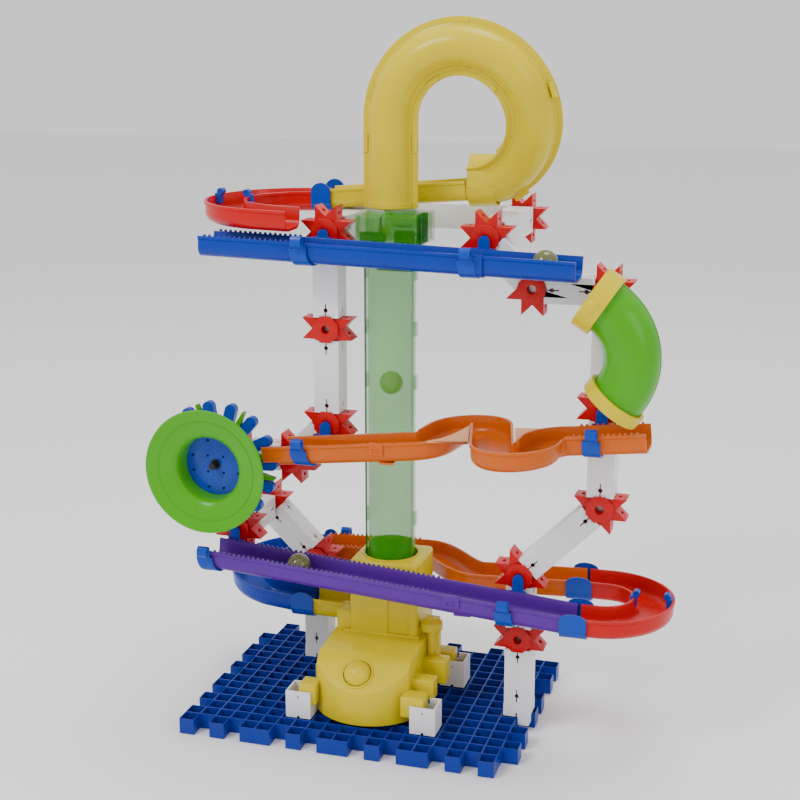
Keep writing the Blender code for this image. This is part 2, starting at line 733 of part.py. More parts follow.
# ---------------------------------------------------------------- wheel
def add_wheel():
    """Dished wheel and its paddle disc, both turning about the Y axis."""
    centre = place(WHEEL[0], 0.0, WHEEL[1])
    profile = ((48.0, 20.0), (27.5, 27.0), (25.6, 29.5), (25.6, 42.0))
    bm = bmesh.new()
    verts = [bm.verts.new((0.0, (y - ORIGIN[1]) * MM - centre.y, r * MM)) for r, y in profile]
    for first, second in zip(verts, verts[1:]):
        bm.edges.new((first, second))
    mesh = bpy.data.meshes.new("dish")
    bm.to_mesh(mesh)
    bm.free()
    dish = add_part("wheel_dish", mesh, GREEN, location=centre)
    screw = dish.modifiers.new("turn", "SCREW")
    screw.axis = "Y"
    screw.steps = screw.render_steps = 32
    screw.use_merge_vertices = True
    screw.merge_threshold = 0.00001
    screw.use_normal_calculate = True
    solidify(dish, 1.6)

    fingers = 15
    root, tip, half = 31.0, 48.6, 4.4
    outline = []
    for finger in range(fingers):
        turn = math.radians(2.5) + 2 * math.pi * finger / fingers
        points = [(root, -half)] + arc((tip - half, 0.0), half, -90, 90, 4) + [(root, half)]
        for u, v in points:
            outline.append((u * math.cos(turn) - v * math.sin(turn), u * math.sin(turn) + v * math.cos(turn)))
    shape = prism(outline, 6.0, Matrix.Translation((0, 47.5 * MM, 0)) @ Matrix.Rotation(math.pi / 2, 4, "X"))
    paddles = add_part("paddle_wheel", shape, BLUE, location=centre)
    spigot = cylinder((WHEEL[0], 43.6, WHEEL[1]), (0, 1, 0), 23.4, 4.0, 32)
    boolean(paddles, spigot, "UNION")
    bore = cylinder((WHEEL[0], 47.0, WHEEL[1]), (0, 1, 0), AXLE_RADIUS + GAP, 30.0, 12)
    boolean(paddles, bore, "DIFFERENCE")


# ---------------------------------------------------------------- blower base
HOUSING_X = (99.0, 173.0)
HOUSING_BACK = 134.0
COLUMN_X = (111.5, 167.0)
COLUMN_Y = (84.0, 134.0)
COLUMN_TOP = 125.0
CHUTE_Y = 120.5


def housing_shape(inset, bottom):
    """Console of the base: a D-shaped plan under a slanted front panel."""
    low_x, high_x = HOUSING_X[0] + inset, HOUSING_X[1] - inset
    middle_x = (low_x + high_x) / 2
    half = (high_x - low_x) / 2
    sagitta = 19.0 - inset / 2
    radius = (half * half + sagitta * sagitta) / (2 * sagitta)
    front_y = 23.0 + inset
    spread = math.degrees(math.asin(half / radius))
    curve = arc((middle_x, front_y + radius), radius, 270 - spread, 270 + spread, 12)
    outline = [(high_x, HOUSING_BACK - inset), (low_x, HOUSING_BACK - inset)] + curve
    stations = [(x - ORIGIN[0], y - ORIGIN[1]) for x, y in outline]
    height = 90.0
    plan = prism(stations, height, Matrix.Translation((0, 0, (bottom + height / 2) * MM)))
    drop = inset * 1.1
    side = [(0.0, bottom - 1), (0.0, 22.6 - drop), (48.0, 61.0 - drop), (84.0, 64.5 - drop), (140.0, 64.5 - drop),
            (140.0, bottom - 1)]
    turn = Matrix.Rotation(math.pi / 2, 4, "Z") @ Matrix.Rotation(math.pi / 2, 4, "X")
    profile = prism([(y - ORIGIN[1], z) for y, z in side], 100.0,
                    Matrix.Translation(((middle_x - ORIGIN[0]) * MM, 0, 0)) @ turn)
    body = bpy.data.objects.new("console", plan)
    CUTTERS.objects.link(body)
    boolean(body, profile, "INTERSECT")
    bpy.context.view_layer.update()
    mesh = bpy.data.meshes.new_from_object(body.evaluated_get(bpy.context.evaluated_depsgraph_get()))
    bpy.data.objects.remove(body, do_unlink=True)
    return mesh


SOCKETS = (("socket_front_left", 88.5, 36.5), ("socket_front_right", 188.0, 36.5),
           ("socket_rear_left", 88.5, 125.0), ("socket_rear_right", 188.0, 125.0))
SOCKET_TOP = 34.5
ARM_LOW, ARM_HIGH = 27.0, 44.0


def arm_box(x, y, grow=0.0):
    """Arm that reaches from the housing over a socket's near wall."""
    inner = HOUSING_X[0] + 3 if x < HOUSING_X[0] else HOUSING_X[1] - 3
    low_x, high_x = min(inner, x), max(inner, x)
    return box((low_x - grow, y - 7.5 - grow, ARM_LOW - grow), (high_x + grow, y + 7.5 + grow, ARM_HIGH + grow))


def add_sockets():
    """Short square tubes on the plate that the housing's arms drop into."""
    for name, x, y in SOCKETS:
        socket = add_part(name, square_tube((x, y, PLATE_HEIGHT + GAP), (x, y, SOCKET_TOP), 0, 0), WHITE)
        solidify(socket, TUBE_WALL)
        boolean(socket, arm_box(x, y, GAP), "DIFFERENCE")


FREE_ARMS = (((170.0, 49.0, 30.5), (190.5, 62.0, 46.5)), ((170.0, 80.0, 30.5), (192.0, 94.0, 49.5)),
             ((94.0, 52.0, 34.0), (102.0, 66.0, 48.0)))
KNOB = (176.5, 94.0)
BUTTON = (134.0, 36.0)        # X and Y of the power button on the slanted panel
BUTTON_RADIUS = 10.5


def panel_height(y):
    """Height of the slanted panel at a depth."""
    return 22.6 + 0.8 * y


def panel_normal():
    return Vector((0, -math.sin(PANEL_SLOPE), math.cos(PANEL_SLOPE)))


def add_housing():
    """Yellow housing: console, column, arms, chute and knob post, hollow and open below."""
    bottom = 15.0
    body = add_part("blower_housing", housing_shape(0.0, bottom), YELLOW)
    column = (COLUMN_X[0], COLUMN_Y[0], 50.0), (COLUMN_X[1], COLUMN_Y[1], COLUMN_TOP)
    boolean(body, box(*column), "UNION")
    for _, x, y in SOCKETS:
        boolean(body, arm_box(x, y), "UNION")
    for arm in FREE_ARMS:
        boolean(body, box(*arm), "UNION")
    boolean(body, cylinder((*KNOB, 58.0), (0, 0, 1), 3.6, 22.0, 12), "UNION")
    boolean(body, cylinder((*KNOB, 72.0), (0, 0, 1), 8.8, 8.0, 20), "UNION")
    boolean(body, box((101.0, 86.0, 50.0), (113.0, 106.0, 79.0)), "UNION")
    chute = ((68.0, CHUTE_Y, 78.8), (113.0, CHUTE_Y, 77.8))
    boolean(body, sweep(chute, trough_outline(), "Z_UP"), "UNION")
    boolean(body, housing_shape(SHELL, bottom - 10.0), "DIFFERENCE")
    hollow = (COLUMN_X[0] + SHELL, COLUMN_Y[0] + SHELL, 40.0), (COLUMN_X[1] - SHELL, COLUMN_Y[1] - SHELL, 110.0)
    boolean(body, box(*hollow), "DIFFERENCE")
    x, y = TOWER
    boolean(body, cylinder((x, y, 124.0), (0, 0, 1), LIFT_RADIUS + GAP, 21.0, 32), "DIFFERENCE")
    boolean(body, cylinder((x, y, 112.0), (0, 0, 1), LIFT_RADIUS - 2.5, 10.0, 32), "DIFFERENCE")
    half = TRACK_WIDTH / 2 - TRACK_WALL - 0.5
    inlet = (COLUMN_X[0] - 1, CHUTE_Y - half, 64.5), (COLUMN_X[0] + 4, COLUMN_Y[1] - 3.5, 96.0)
    boolean(body, box(*inlet), "DIFFERENCE")
    hole = (BUTTON[0], BUTTON[1], panel_height(BUTTON[1]))
    boolean(body, cylinder(hole, panel_normal(), BUTTON_RADIUS + 0.5, 12.0, 24), "DIFFERENCE")
    return body


def add_button():
    """Domed power button, pressed along the panel's normal."""
    normal = panel_normal()
    location = place(BUTTON[0], BUTTON[1], panel_height(BUTTON[1]))
    turn = turn_to(normal)
    bm = bmesh.new()
    bmesh.ops.create_uvsphere(bm, u_segments=24, v_segments=10, radius=BUTTON_RADIUS * MM)
    plane = -3.0 * MM
    cut = bmesh.ops.bisect_plane(bm, geom=bm.verts[:] + bm.edges[:] + bm.faces[:], plane_co=(0, 0, plane),
                                 plane_no=(0, 0, -1), clear_outer=True)
    rim = [edge for edge in cut["geom_cut"] if isinstance(edge, bmesh.types.BMEdge)]
    bmesh.ops.holes_fill(bm, edges=rim)
    bmesh.ops.scale(bm, vec=(1, 1, 0.8), verts=bm.verts)
    bmesh.ops.transform(bm, matrix=turn, verts=bm.verts)
    mesh = mesh_from(bm)
    smooth(mesh)
    add_part("power_button", mesh, YELLOW, location=location)


def add_insides():
    """Motor, impeller, and the battery box that closes the housing from below."""
    x, y = TOWER
    motor = add_part("motor", cylinder((x, y, 58.0), (0, 0, 1), 13.5, 34.0, 20), STEEL, 0.4)
    boolean(motor, cylinder((x, y, 78.0), (0, 0, 1), 1.6, 10.0, 10), "UNION")

    centre = place(x, y, 88.0)
    bm = bmesh.new()
    bmesh.ops.create_cone(bm, cap_ends=True, segments=16, radius1=17.0 * MM, radius2=5.0 * MM, depth=6.0 * MM)
    rotor = add_part("impeller", mesh_from(bm), WHITE, location=centre)
    for blade in range(6):
        turn = Matrix.Rotation(blade * math.pi / 3, 4, "Z")
        bm = bmesh.new()
        shape = Matrix.Translation((11.0 * MM, 0, 2.0 * MM)) @ Matrix.Diagonal((11 * MM, 1.4 * MM, 9 * MM, 1))
        bmesh.ops.create_cube(bm, size=1.0, matrix=Matrix.Translation(centre) @ turn @ shape)
        boolean(rotor, mesh_from(bm), "UNION")
    boolean(rotor, cylinder((x, y, 82.0), (0, 0, 1), 2.0, 8.0, 10), "DIFFERENCE")

    cover_low = (HOUSING_X[0] + SHELL + GAP, 48.0, 15.2)
    cover_high = (HOUSING_X[1] - SHELL - GAP, HOUSING_BACK - SHELL - GAP, 17.6)
    battery = add_part("battery_box", box(cover_low, cover_high), DARK, 0.5)
    boolean(battery, box((108.0, 54.0, 16.0), (164.0, 90.0, 32.0)), "UNION")


# ---------------------------------------------------------------- marbles
def add_marble(name, station):
    bm = bmesh.new()
    bmesh.ops.create_uvsphere(bm, u_segments=14, v_segments=8, radius=MARBLE_RADIUS * MM)
    mesh = mesh_from(bm)
    smooth(mesh)
    add_part(name, mesh, (0.35, 0.42, 0.12), 0.08, 0.75, location=place(*station))


def on_track(line, x):
    """Marble's centre when it stands on a straight track at a given X."""
    rim = slope_between(*line, x)
    return (x, FRONT_Y, rim - TRACK_DEPTH + TRACK_WALL + MARBLE_RADIUS + GAP)


def add_marbles():
    add_marble("marble_lift", (TOWER[0], TOWER[1], 264.0))
    add_marble("marble_upper", on_track(BLUE_TRACK, 268.0))
    add_marble("marble_lower", on_track(PURPLE_TRACK, 80.0))


# ---------------------------------------------------------------- build
base_plate("base_plate_left", True)
base_plate("base_plate_right", False)
connector = add_connectors()
add_tubes()
add_posts()
rear_frame(connector)
wheel_mount(connector)
add_straight_tracks()
add_middle_track()
add_rear_track()
add_turns()
add_lift()
add_loop()
add_side_tube()
add_wheel()
add_sockets()
add_housing()
add_button()
add_insides()
add_marbles()
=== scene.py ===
"""Marble run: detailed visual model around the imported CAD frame.

Stations are in millimetres from the plate's front left corner: X right, Y deep, Z up.
"""
import math

import bmesh
import bpy
from mathutils import Matrix, Vector


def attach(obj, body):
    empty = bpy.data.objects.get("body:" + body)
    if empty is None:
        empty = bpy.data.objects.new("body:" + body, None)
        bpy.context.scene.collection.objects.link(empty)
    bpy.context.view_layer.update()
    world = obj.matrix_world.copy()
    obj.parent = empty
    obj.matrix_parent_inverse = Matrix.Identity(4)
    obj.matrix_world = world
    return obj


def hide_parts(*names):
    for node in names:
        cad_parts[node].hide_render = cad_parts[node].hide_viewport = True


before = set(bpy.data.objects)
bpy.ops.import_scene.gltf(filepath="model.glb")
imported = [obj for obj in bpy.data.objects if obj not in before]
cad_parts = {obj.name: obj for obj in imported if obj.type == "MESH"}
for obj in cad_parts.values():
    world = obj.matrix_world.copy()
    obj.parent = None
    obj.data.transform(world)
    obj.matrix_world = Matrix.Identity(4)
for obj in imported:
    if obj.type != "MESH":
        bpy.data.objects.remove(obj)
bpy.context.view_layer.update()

# ---------------------------------------------------------------- dimensions (mm)
MM = 0.001
GAP = 0.3
PATH_STEP = 12.0             # about the length of one straight piece of a swept track
WRAP_STEPS, CORNER_STEPS, TURN_STEPS = 6, 8, 40
ORIGIN = (168.05, 110.45, 0.0)
CELL = 12.5
PLATE_COLS, PLATE_ROWS, PLATE_SEAM = 21, 16, 10
PLATE_HEIGHT, PLATE_WALL = 12.5, 2.0
FRONT_TEETH = (0, 2, 4, 5, 7, 9, 10, 12, 14, 15, 17, 19)
LEFT_TEETH = (0, 1, 3, 5, 6, 8, 10, 11, 13)
TUBE_SIDE, TUBE_WALL, TUBE_END = 20.0, 1.4, 8.7
STAR_TIP, STAR_VALLEY, STAR_DEPTH = 21.2, 11.6, 16.6
HUB_APOTHEM, HUB_DEPTH, HUB_HOLE = 10.0, 23.6, 3.2
TRACK_WIDTH, TRACK_DEPTH, TRACK_WALL = 32.0, 15.6, 1.9
TRACK_CORNER, TRACK_LIP, TOOTH_PITCH = 7.0, 0.9, 4.0
KEYHOLE_INSET = 5.8
FRONT_Y, PLANE_FRONT, PLANE_MIDDLE, PLANE_REAR = 56.0, 87.0, 148.0, 209.0
TOWER = (138.8, 109.0)
LIFT_RADIUS, LIFT_BOTTOM, LIFT_TOP = 20.7, 114.0, 398.0
LOOP_RADIUS, LOOP_CENTRE_Z, LOOP_TUBE, LOOP_FLANGE = 52.2, 465.3, 15.1, 21.0
EXIT_Y = 150.5
MARBLE_RADIUS = 9.2
WHEEL = (19.2, 207.0)
LOBES, LOBE_PHASE = 15, 2.5
PANEL_RISE = 0.8

FRONT_STARS = {
    "left_low": (19.6, 144.0), "left_mid": (66.5, 205.0), "left_knee": (97.0, 235.5),
    "left_upper": (97.0, 309.5), "left_top": (97.0, 383.0), "right_top": (219.5, 383.0),
    "right_shoulder": (254.5, 348.0), "right_corner": (308.5, 348.0),
    "right_upper": (308.5, 262.0), "right_mid": (308.5, 187.0),
    "right_knee": (249.5, 128.0), "right_low": (249.5, 77.0),
}
MIDDLE_STARS = {"rear_low": (63.6, 100.0), "rear_mid": (19.6, 144.0)}
BLUE_TRACK = ((11.0, FRONT_Y, 381.8), (292.0, FRONT_Y, 374.4))
PURPLE_TRACK = ((8.0, FRONT_Y, 136.6), (296.0, FRONT_Y, 114.2))
EXIT_TRACK = ((188.8, EXIT_Y, 417.8), (75.0, EXIT_Y, 408.2))


def place(x, y, z):
    """Station in mm to metres about the object's origin."""
    return Vector(((x - ORIGIN[0]) * MM, (y - ORIGIN[1]) * MM, (z - ORIGIN[2]) * MM))


def plastic(name, color, roughness=0.3, shade=0.1, grain=0.05, coat=0.1, alpha=1.0):
    """Moulded plastic: mottled colour, paler worn edges, uneven gloss and a fine moulded skin."""
    material = bpy.data.materials.new("moulded_" + name)
    material.use_nodes = True
    nodes, links = material.node_tree.nodes, material.node_tree.links
    shader = nodes["Principled BSDF"]
    shader.inputs["Metallic"].default_value = 0.0
    shader.inputs["Coat Weight"].default_value = coat
    shader.inputs["Coat Roughness"].default_value = 0.12
    shader.inputs["Alpha"].default_value = alpha
    shader.inputs["IOR"].default_value = 1.49
    shader.inputs["Specular IOR Level"].default_value = 0.22

    position = nodes.new("ShaderNodeTexCoord").outputs["Object"]

    def noise(scale, detail):
        texture = nodes.new("ShaderNodeTexNoise")
        texture.inputs["Scale"].default_value = scale
        texture.inputs["Detail"].default_value = detail
        links.new(position, texture.inputs["Vector"])
        return texture.outputs["Fac"]

    def remap(source, **limits):
        node = nodes.new("ShaderNodeMapRange")
        for limit, value in limits.items():
            node.inputs[limit.replace("_", " ").title()].default_value = value
        links.new(source, node.inputs["Value"])
        return node.outputs["Result"]

    blend = nodes.new("ShaderNodeMix")
    blend.data_type = "RGBA"
    blend.inputs[6].default_value = (*[c * (1 - shade) for c in color], 1.0)
    blend.inputs[7].default_value = (*[min(c * (1 + shade), 1.0) for c in color], 1.0)
    links.new(noise(28.0, 4.0), blend.inputs[0])

    edges = nodes.new("ShaderNodeNewGeometry").outputs["Pointiness"]
    worn = nodes.new("ShaderNodeMix")
    worn.data_type = "RGBA"
    worn.inputs[7].default_value = (*[c * 0.9 + 0.08 for c in color], 1.0)
    links.new(remap(edges, from_min=0.56, from_max=0.8, to_max=0.3), worn.inputs[0])
    links.new(blend.outputs[2], worn.inputs[6])
    links.new(worn.outputs[2], shader.inputs["Base Color"])

    gloss = remap(noise(60.0, 5.0), from_min=0.3, from_max=0.7, to_min=max(roughness - 0.07, 0.02),
                  to_max=roughness + 0.07)
    links.new(gloss, shader.inputs["Roughness"])

    bump = nodes.new("ShaderNodeBump")
    bump.inputs["Strength"].default_value = grain
    bump.inputs["Distance"].default_value = 0.0003
    links.new(noise(900.0, 3.0), bump.inputs["Height"])
    links.new(bump.outputs["Normal"], shader.inputs["Normal"])
    return material


BLUE = plastic("blue", (0.0, 0.028, 0.33))
PLATE_BLUE = plastic("plate_blue", (0.0, 0.022, 0.27), roughness=0.38)
CLIP_BLUE = plastic("clip_blue", (0.001, 0.045, 0.38))
RED = plastic("red", (0.52, 0.0, 0.002))
# Paler red: painted highlight on the side faces of the connector tips.
RED_PAINTED_HIGHLIGHT = plastic("red_painted_highlight", (0.62, 0.03, 0.04), roughness=0.4)
YELLOW = plastic("yellow", (0.64, 0.50, 0.0))
ORANGE = plastic("orange", (0.56, 0.10, 0.0))
# Paler orange: painted highlight on the top faces of the middle track's flanges.
ORANGE_PAINTED_HIGHLIGHT = plastic("orange_painted_highlight", (0.80, 0.34, 0.12), roughness=0.4)
PURPLE = plastic("purple", (0.085, 0.010, 0.26))
GREEN = plastic("green", (0.055, 0.33, 0.0))
WHITE = plastic("frame_white", (0.80, 0.80, 0.83), roughness=0.35, shade=0.04)
STEEL = plastic("steel", (0.5, 0.5, 0.52), roughness=0.35)
DARK = plastic("dark", (0.012, 0.012, 0.016), roughness=0.5)
CLEAR_GREEN = plastic("clear_green", (0.06, 0.50, 0.0),
                      roughness=0.08, alpha=0.31, grain=0.01)
CLEAR_COLLAR = plastic("clear_collar", (0.05, 0.32, 0.0),
                       roughness=0.1, alpha=0.32, grain=0.01)
CLEAR_DARK = plastic("clear_dark_green", (0.0, 0.16, 0.0),
                     roughness=0.1, alpha=0.7, grain=0.01)
MARBLE = plastic("marble", (0.13, 0.14, 0.05),
                 roughness=0.07, alpha=0.92, coat=0.6, grain=0.0)
MARBLE_PALE = plastic("marble_pale", (0.44, 0.27, 0.24),
                      roughness=0.07, alpha=0.92, coat=0.6, grain=0.0)


# ---------------------------------------------------------------- piece helpers
def link(name, mesh):
    obj = bpy.data.objects.new(name, mesh)
    bpy.context.scene.collection.objects.link(obj)
    return obj


def add(name, mesh, material, nodes=(), body="run", bevel=0.0, segments=2, smooth=35.0):
    """A finished piece: its shading, material, body, and the CAD nodes that it stands for."""
    if not mesh.materials:
        mesh.materials.append(material)
    mesh.shade_smooth()
    mesh.set_sharp_from_angle(angle=math.radians(smooth))
    obj = link(name, mesh)
    if bevel:
        modifier = obj.modifiers.new("edges", "BEVEL")
        modifier.width = bevel * MM
        modifier.segments = segments
        modifier.limit_method = "ANGLE"
        modifier.angle_limit = math.radians(32)
        modifier.harden_normals = True
    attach(obj, body)
    if nodes:
        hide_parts(*nodes)
    return obj


def mesh_from(bm):
    bmesh.ops.recalc_face_normals(bm, faces=bm.faces)
    mesh = bpy.data.meshes.new("mesh")
    bm.to_mesh(mesh)
    bm.free()
    return mesh


def evaluated(obj):
    """Mesh of an object with its modifiers applied; the object is removed."""
    bpy.context.view_layer.update()
    mesh = bpy.data.meshes.new_from_object(obj.evaluated_get(bpy.context.evaluated_depsgraph_get()))
    bpy.data.objects.remove(obj, do_unlink=True)
    return mesh


def cut(mesh):
    return "DIFFERENCE", mesh


def fuse(mesh):
    return "UNION", mesh


def combine(mesh, *steps):
    """Mesh after a list of (operation, mesh) Boolean steps."""
    obj = link("operand", mesh)
    others = []
    for operation, other in steps:
        helper = link("helper", other)
        others.append(helper)
        modifier = obj.modifiers.new("step", "BOOLEAN")
        modifier.operation = operation
        modifier.solver = "EXACT"
        modifier.use_self = True
        modifier.object = helper
    result = evaluated(obj)
    for helper in others:
        bpy.data.objects.remove(helper, do_unlink=True)
    return result


def joined(meshes):
    """Separate meshes gathered into one."""
    bm = bmesh.new()
    for mesh in meshes:
        bm.from_mesh(mesh)
    result = bpy.data.meshes.new("joined")
    bm.to_mesh(result)
    bm.free()
    return result


def moved(mesh, matrix):
    copy = mesh.copy()
    copy.transform(matrix)
    return copy


def box(low, high):
    bm = bmesh.new()
    middle = [(a + b) / 2 for a, b in zip(low, high)]
    size = [(b - a) * MM for a, b in zip(low, high)]
    matrix = Matrix.Translation(place(*middle)) @ Matrix.Diagonal((*size, 1.0))
    bmesh.ops.create_cube(bm, size=1.0, matrix=matrix)
    return mesh_from(bm)


def rounded(mesh, width, segments=3, angle=30.0):
    """Mesh with its sharp edges rounded."""
    obj = link("rounded", mesh)
    modifier = obj.modifiers.new("round", "BEVEL")
    modifier.width = width * MM
    modifier.segments = segments
    modifier.limit_method = "ANGLE"
    modifier.angle_limit = math.radians(angle)
    return evaluated(obj)


def turn_to(axis):
    return Vector((0, 0, 1)).rotation_difference(Vector(axis)).to_matrix().to_4x4()


def cylinder(centre, axis, radius, length, sides=40):
    bm = bmesh.new()
    bmesh.ops.create_cone(bm, cap_ends=True, segments=sides, radius1=radius * MM, radius2=radius * MM,
                          depth=length * MM, matrix=Matrix.Translation(place(*centre)) @ turn_to(axis))
    return mesh_from(bm)


def arc(centre, radius, start, end, steps):
    points = []
    for step in range(steps + 1):
        angle = math.radians(start + (end - start) * step / steps)
        points.append((centre[0] + radius * math.cos(angle), centre[1] + radius * math.sin(angle)))
    return points


def curve_mesh(curve):
    mesh = evaluated(link("curve", curve))
    bm = bmesh.new()
    bm.from_mesh(mesh)
    bmesh.ops.remove_doubles(bm, verts=bm.verts, dist=1e-6)
    bmesh.ops.recalc_face_normals(bm, faces=bm.faces)
    bm.to_mesh(mesh)
    bm.free()
    mesh.materials.clear()
    return mesh


def add_spline(curve, points, cyclic):
    spline = curve.splines.new("POLY")
    spline.points.add(len(points) - 1)
    for target, point in zip(spline.points, points):
        target.co = (*point, 1.0)
    spline.use_cyclic_u = cyclic


def prism(outline, depth, matrix):
    """Flat outline in mm, extruded about its plane by depth, then moved by the matrix."""
    curve = bpy.data.curves.new("outline", "CURVE")
    curve.dimensions = "2D"
    curve.fill_mode = "BOTH"
    curve.extrude = depth * MM / 2
    add_spline(curve, [(x * MM, y * MM, 0.0) for x, y in outline], True)
    mesh = curve_mesh(curve)
    mesh.transform(matrix)
    return mesh


def standing(x, y, z):
    """Matrix that stands an XY outline up in the XZ plane at a station."""
    return Matrix.Translation(place(x, y, z)) @ Matrix.Rotation(math.pi / 2, 4, "X")


def sweep(path, outline, twist="Z_UP"):
    """Outline in mm swept along a path of stations."""
    section = bpy.data.curves.new("section", "CURVE")
    section.dimensions = "2D"
    add_spline(section, [(x * MM, y * MM, 0.0) for x, y in outline], True)
    section_object = link("section", section)
    curve = bpy.data.curves.new("path", "CURVE")
    curve.dimensions = "3D"
    curve.twist_mode = twist
    curve.bevel_mode = "OBJECT"
    curve.bevel_object = section_object
    curve.use_fill_caps = True
    add_spline(curve, [place(*point) for point in path], False)
    mesh = curve_mesh(curve)
    bpy.data.objects.remove(section_object, do_unlink=True)
    return mesh


def pipe(path, radius, sides=10):
    """Open round pipe surface along a path of stations."""
    curve = bpy.data.curves.new("pipe", "CURVE")
    curve.dimensions = "3D"
    curve.bevel_depth = radius * MM
    curve.bevel_resolution = sides
    add_spline(curve, [place(*point) for point in path], False)
    return curve_mesh(curve)


def thick(mesh, thickness, offset=-1.0):
    obj = link("thick", mesh)
    modifier = obj.modifiers.new("shell", "SOLIDIFY")
    modifier.thickness = thickness * MM
    modifier.offset = offset
    modifier.use_even_offset = True
    return evaluated(obj)


def ribbon(points, width, thickness):
    """Strap whose middle line runs through the stations, as wide as stated along X."""
    bm = bmesh.new()
    rows = []
    for x, y, z in points:
        rows.append([bm.verts.new(place(x + side * width / 2, y, z)) for side in (-1, 1)])
    for first, second in zip(rows, rows[1:]):
        bm.faces.new((first[0], first[1], second[1], second[0]))
    return thick(mesh_from(bm), thickness, offset=0.0)


def wave(x, start, end):
    t = min(max((x - start) / (end - start), 0.0), 1.0)
    return t * t * (3 - 2 * t)


def rim_at(line, x):
    start, end = line
    return start[2] + (end[2] - start[2]) * (x - start[0]) / (end[0] - start[0])


# ---------------------------------------------------------------- base plates
def plate_cells(left):
    cells = set()
    for column in range(PLATE_COLS):
        for row in range(PLATE_ROWS):
            edge_x = column in (0, PLATE_COLS - 1)
            edge_y = row in (0, PLATE_ROWS - 1)
            if edge_x and edge_y and (column, row) != (0, 0):
                continue
            if row == 0 and column not in FRONT_TEETH:
                continue
            if row == PLATE_ROWS - 1 and column in FRONT_TEETH:
                continue
            if column == 0 and row not in LEFT_TEETH:
                continue
            if column == PLATE_COLS - 1 and row in LEFT_TEETH:
                continue
            mine = (row % 2 == 0) == left if column == PLATE_SEAM else (column < PLATE_SEAM) == left
            if mine:
                cells.add((column, row))
    return cells


def base_plate(node, left):
    """Grid plate: each cell is an open square ring with softened edges."""
    cells = plate_cells(left)
    bm = bmesh.new()
    bmesh.ops.create_grid(bm, x_segments=PLATE_COLS, y_segments=PLATE_ROWS, size=0.5)
    for vertex in bm.verts:
        vertex.co = place((vertex.co.x + 0.5) * PLATE_COLS * CELL, (vertex.co.y + 0.5) * PLATE_ROWS * CELL, 0)
    unused = []
    for face in bm.faces:
        middle = face.calc_center_median() / MM + Vector(ORIGIN)
        if (int(middle.x // CELL), int(middle.y // CELL)) not in cells:
            unused.append(face)
    bmesh.ops.delete(bm, geom=unused, context="FACES")
    rim = bmesh.ops.inset_region(bm, faces=bm.faces[:], thickness=GAP / 2 * MM, use_boundary=True,
                                 use_even_offset=True)
    bmesh.ops.delete(bm, geom=rim["faces"], context="FACES")
    floors = bm.faces[:]
    bmesh.ops.inset_individual(bm, faces=floors, thickness=PLATE_WALL / 2 * MM)
    bmesh.ops.delete(bm, geom=floors, context="FACES")
    mesh = thick(mesh_from(bm), PLATE_HEIGHT, offset=1.0)
    add("visual_" + node, mesh, PLATE_BLUE, (node,), bevel=0.3, segments=2)


# ---------------------------------------------------------------- frame tubes
def key_slots(at, along, across):
    """Cutters of a keyhole: a thin slot with a round eye, right through a tube on both axes."""
    cutters = []
    for axis in across:
        side = Vector(along).cross(Vector(axis))
        for length, width in ((10.4, 0.9), (3.4, 3.4)):
            bm = bmesh.new()
            basis = Matrix((Vector(along), side, Vector(axis))).transposed().to_4x4()
            if width < 2:
                size = Matrix.Diagonal((length * MM, width * MM, 30 * MM, 1))
                bmesh.ops.create_cube(bm, size=1.0, matrix=Matrix.Translation(place(*at)) @ basis @ size)
            else:
                bmesh.ops.create_cone(bm, cap_ends=True, segments=14, radius1=width / 2 * MM,
                                      radius2=width / 2 * MM, depth=30 * MM,
                                      matrix=Matrix.Translation(place(*at)) @ basis)
            cutters.append(cut(mesh_from(bm)))
    return cutters


def square_tube(start, end, trim_start=TUBE_END, trim_end=TUBE_END, slots=(1, 1)):
    """Hollow square tube between two stations, with keyholes near the ends that ask for them."""
    a, b = Vector(start), Vector(end)
    along = (b - a).normalized()
    a += along * trim_start
    b -= along * trim_end
    across = Vector((1, 0, 0)) if abs(along.y) > 0.5 else Vector((0, 1, 0))
    other = along.cross(across)
    basis = Matrix((across, other, along)).transposed().to_4x4()
    size = Matrix.Diagonal((TUBE_SIDE * MM, TUBE_SIDE * MM, (b - a).length * MM, 1.0))
    bm = bmesh.new()
    bmesh.ops.create_cube(bm, size=1.0)
    ends = [face for face in bm.faces if abs(face.normal.z) > 0.5]
    bmesh.ops.delete(bm, geom=ends, context="FACES_ONLY")
    bmesh.ops.transform(bm, matrix=Matrix.Translation(place(*((a + b) / 2))) @ basis @ size, verts=bm.verts)
    mesh = thick(mesh_from(bm), TUBE_WALL)
    steps = []
    for wanted, point, inward in zip(slots, (a, b), (along, -along)):
        if wanted:
            steps += key_slots(point + inward * KEYHOLE_INSET, along, (across, other))
    return combine(mesh, *steps) if steps else mesh


def front(name):
    return (FRONT_STARS[name][0], PLANE_FRONT, FRONT_STARS[name][1])


def rear(name):
    return (MIDDLE_STARS[name][0], PLANE_MIDDLE, MIDDLE_STARS[name][1])


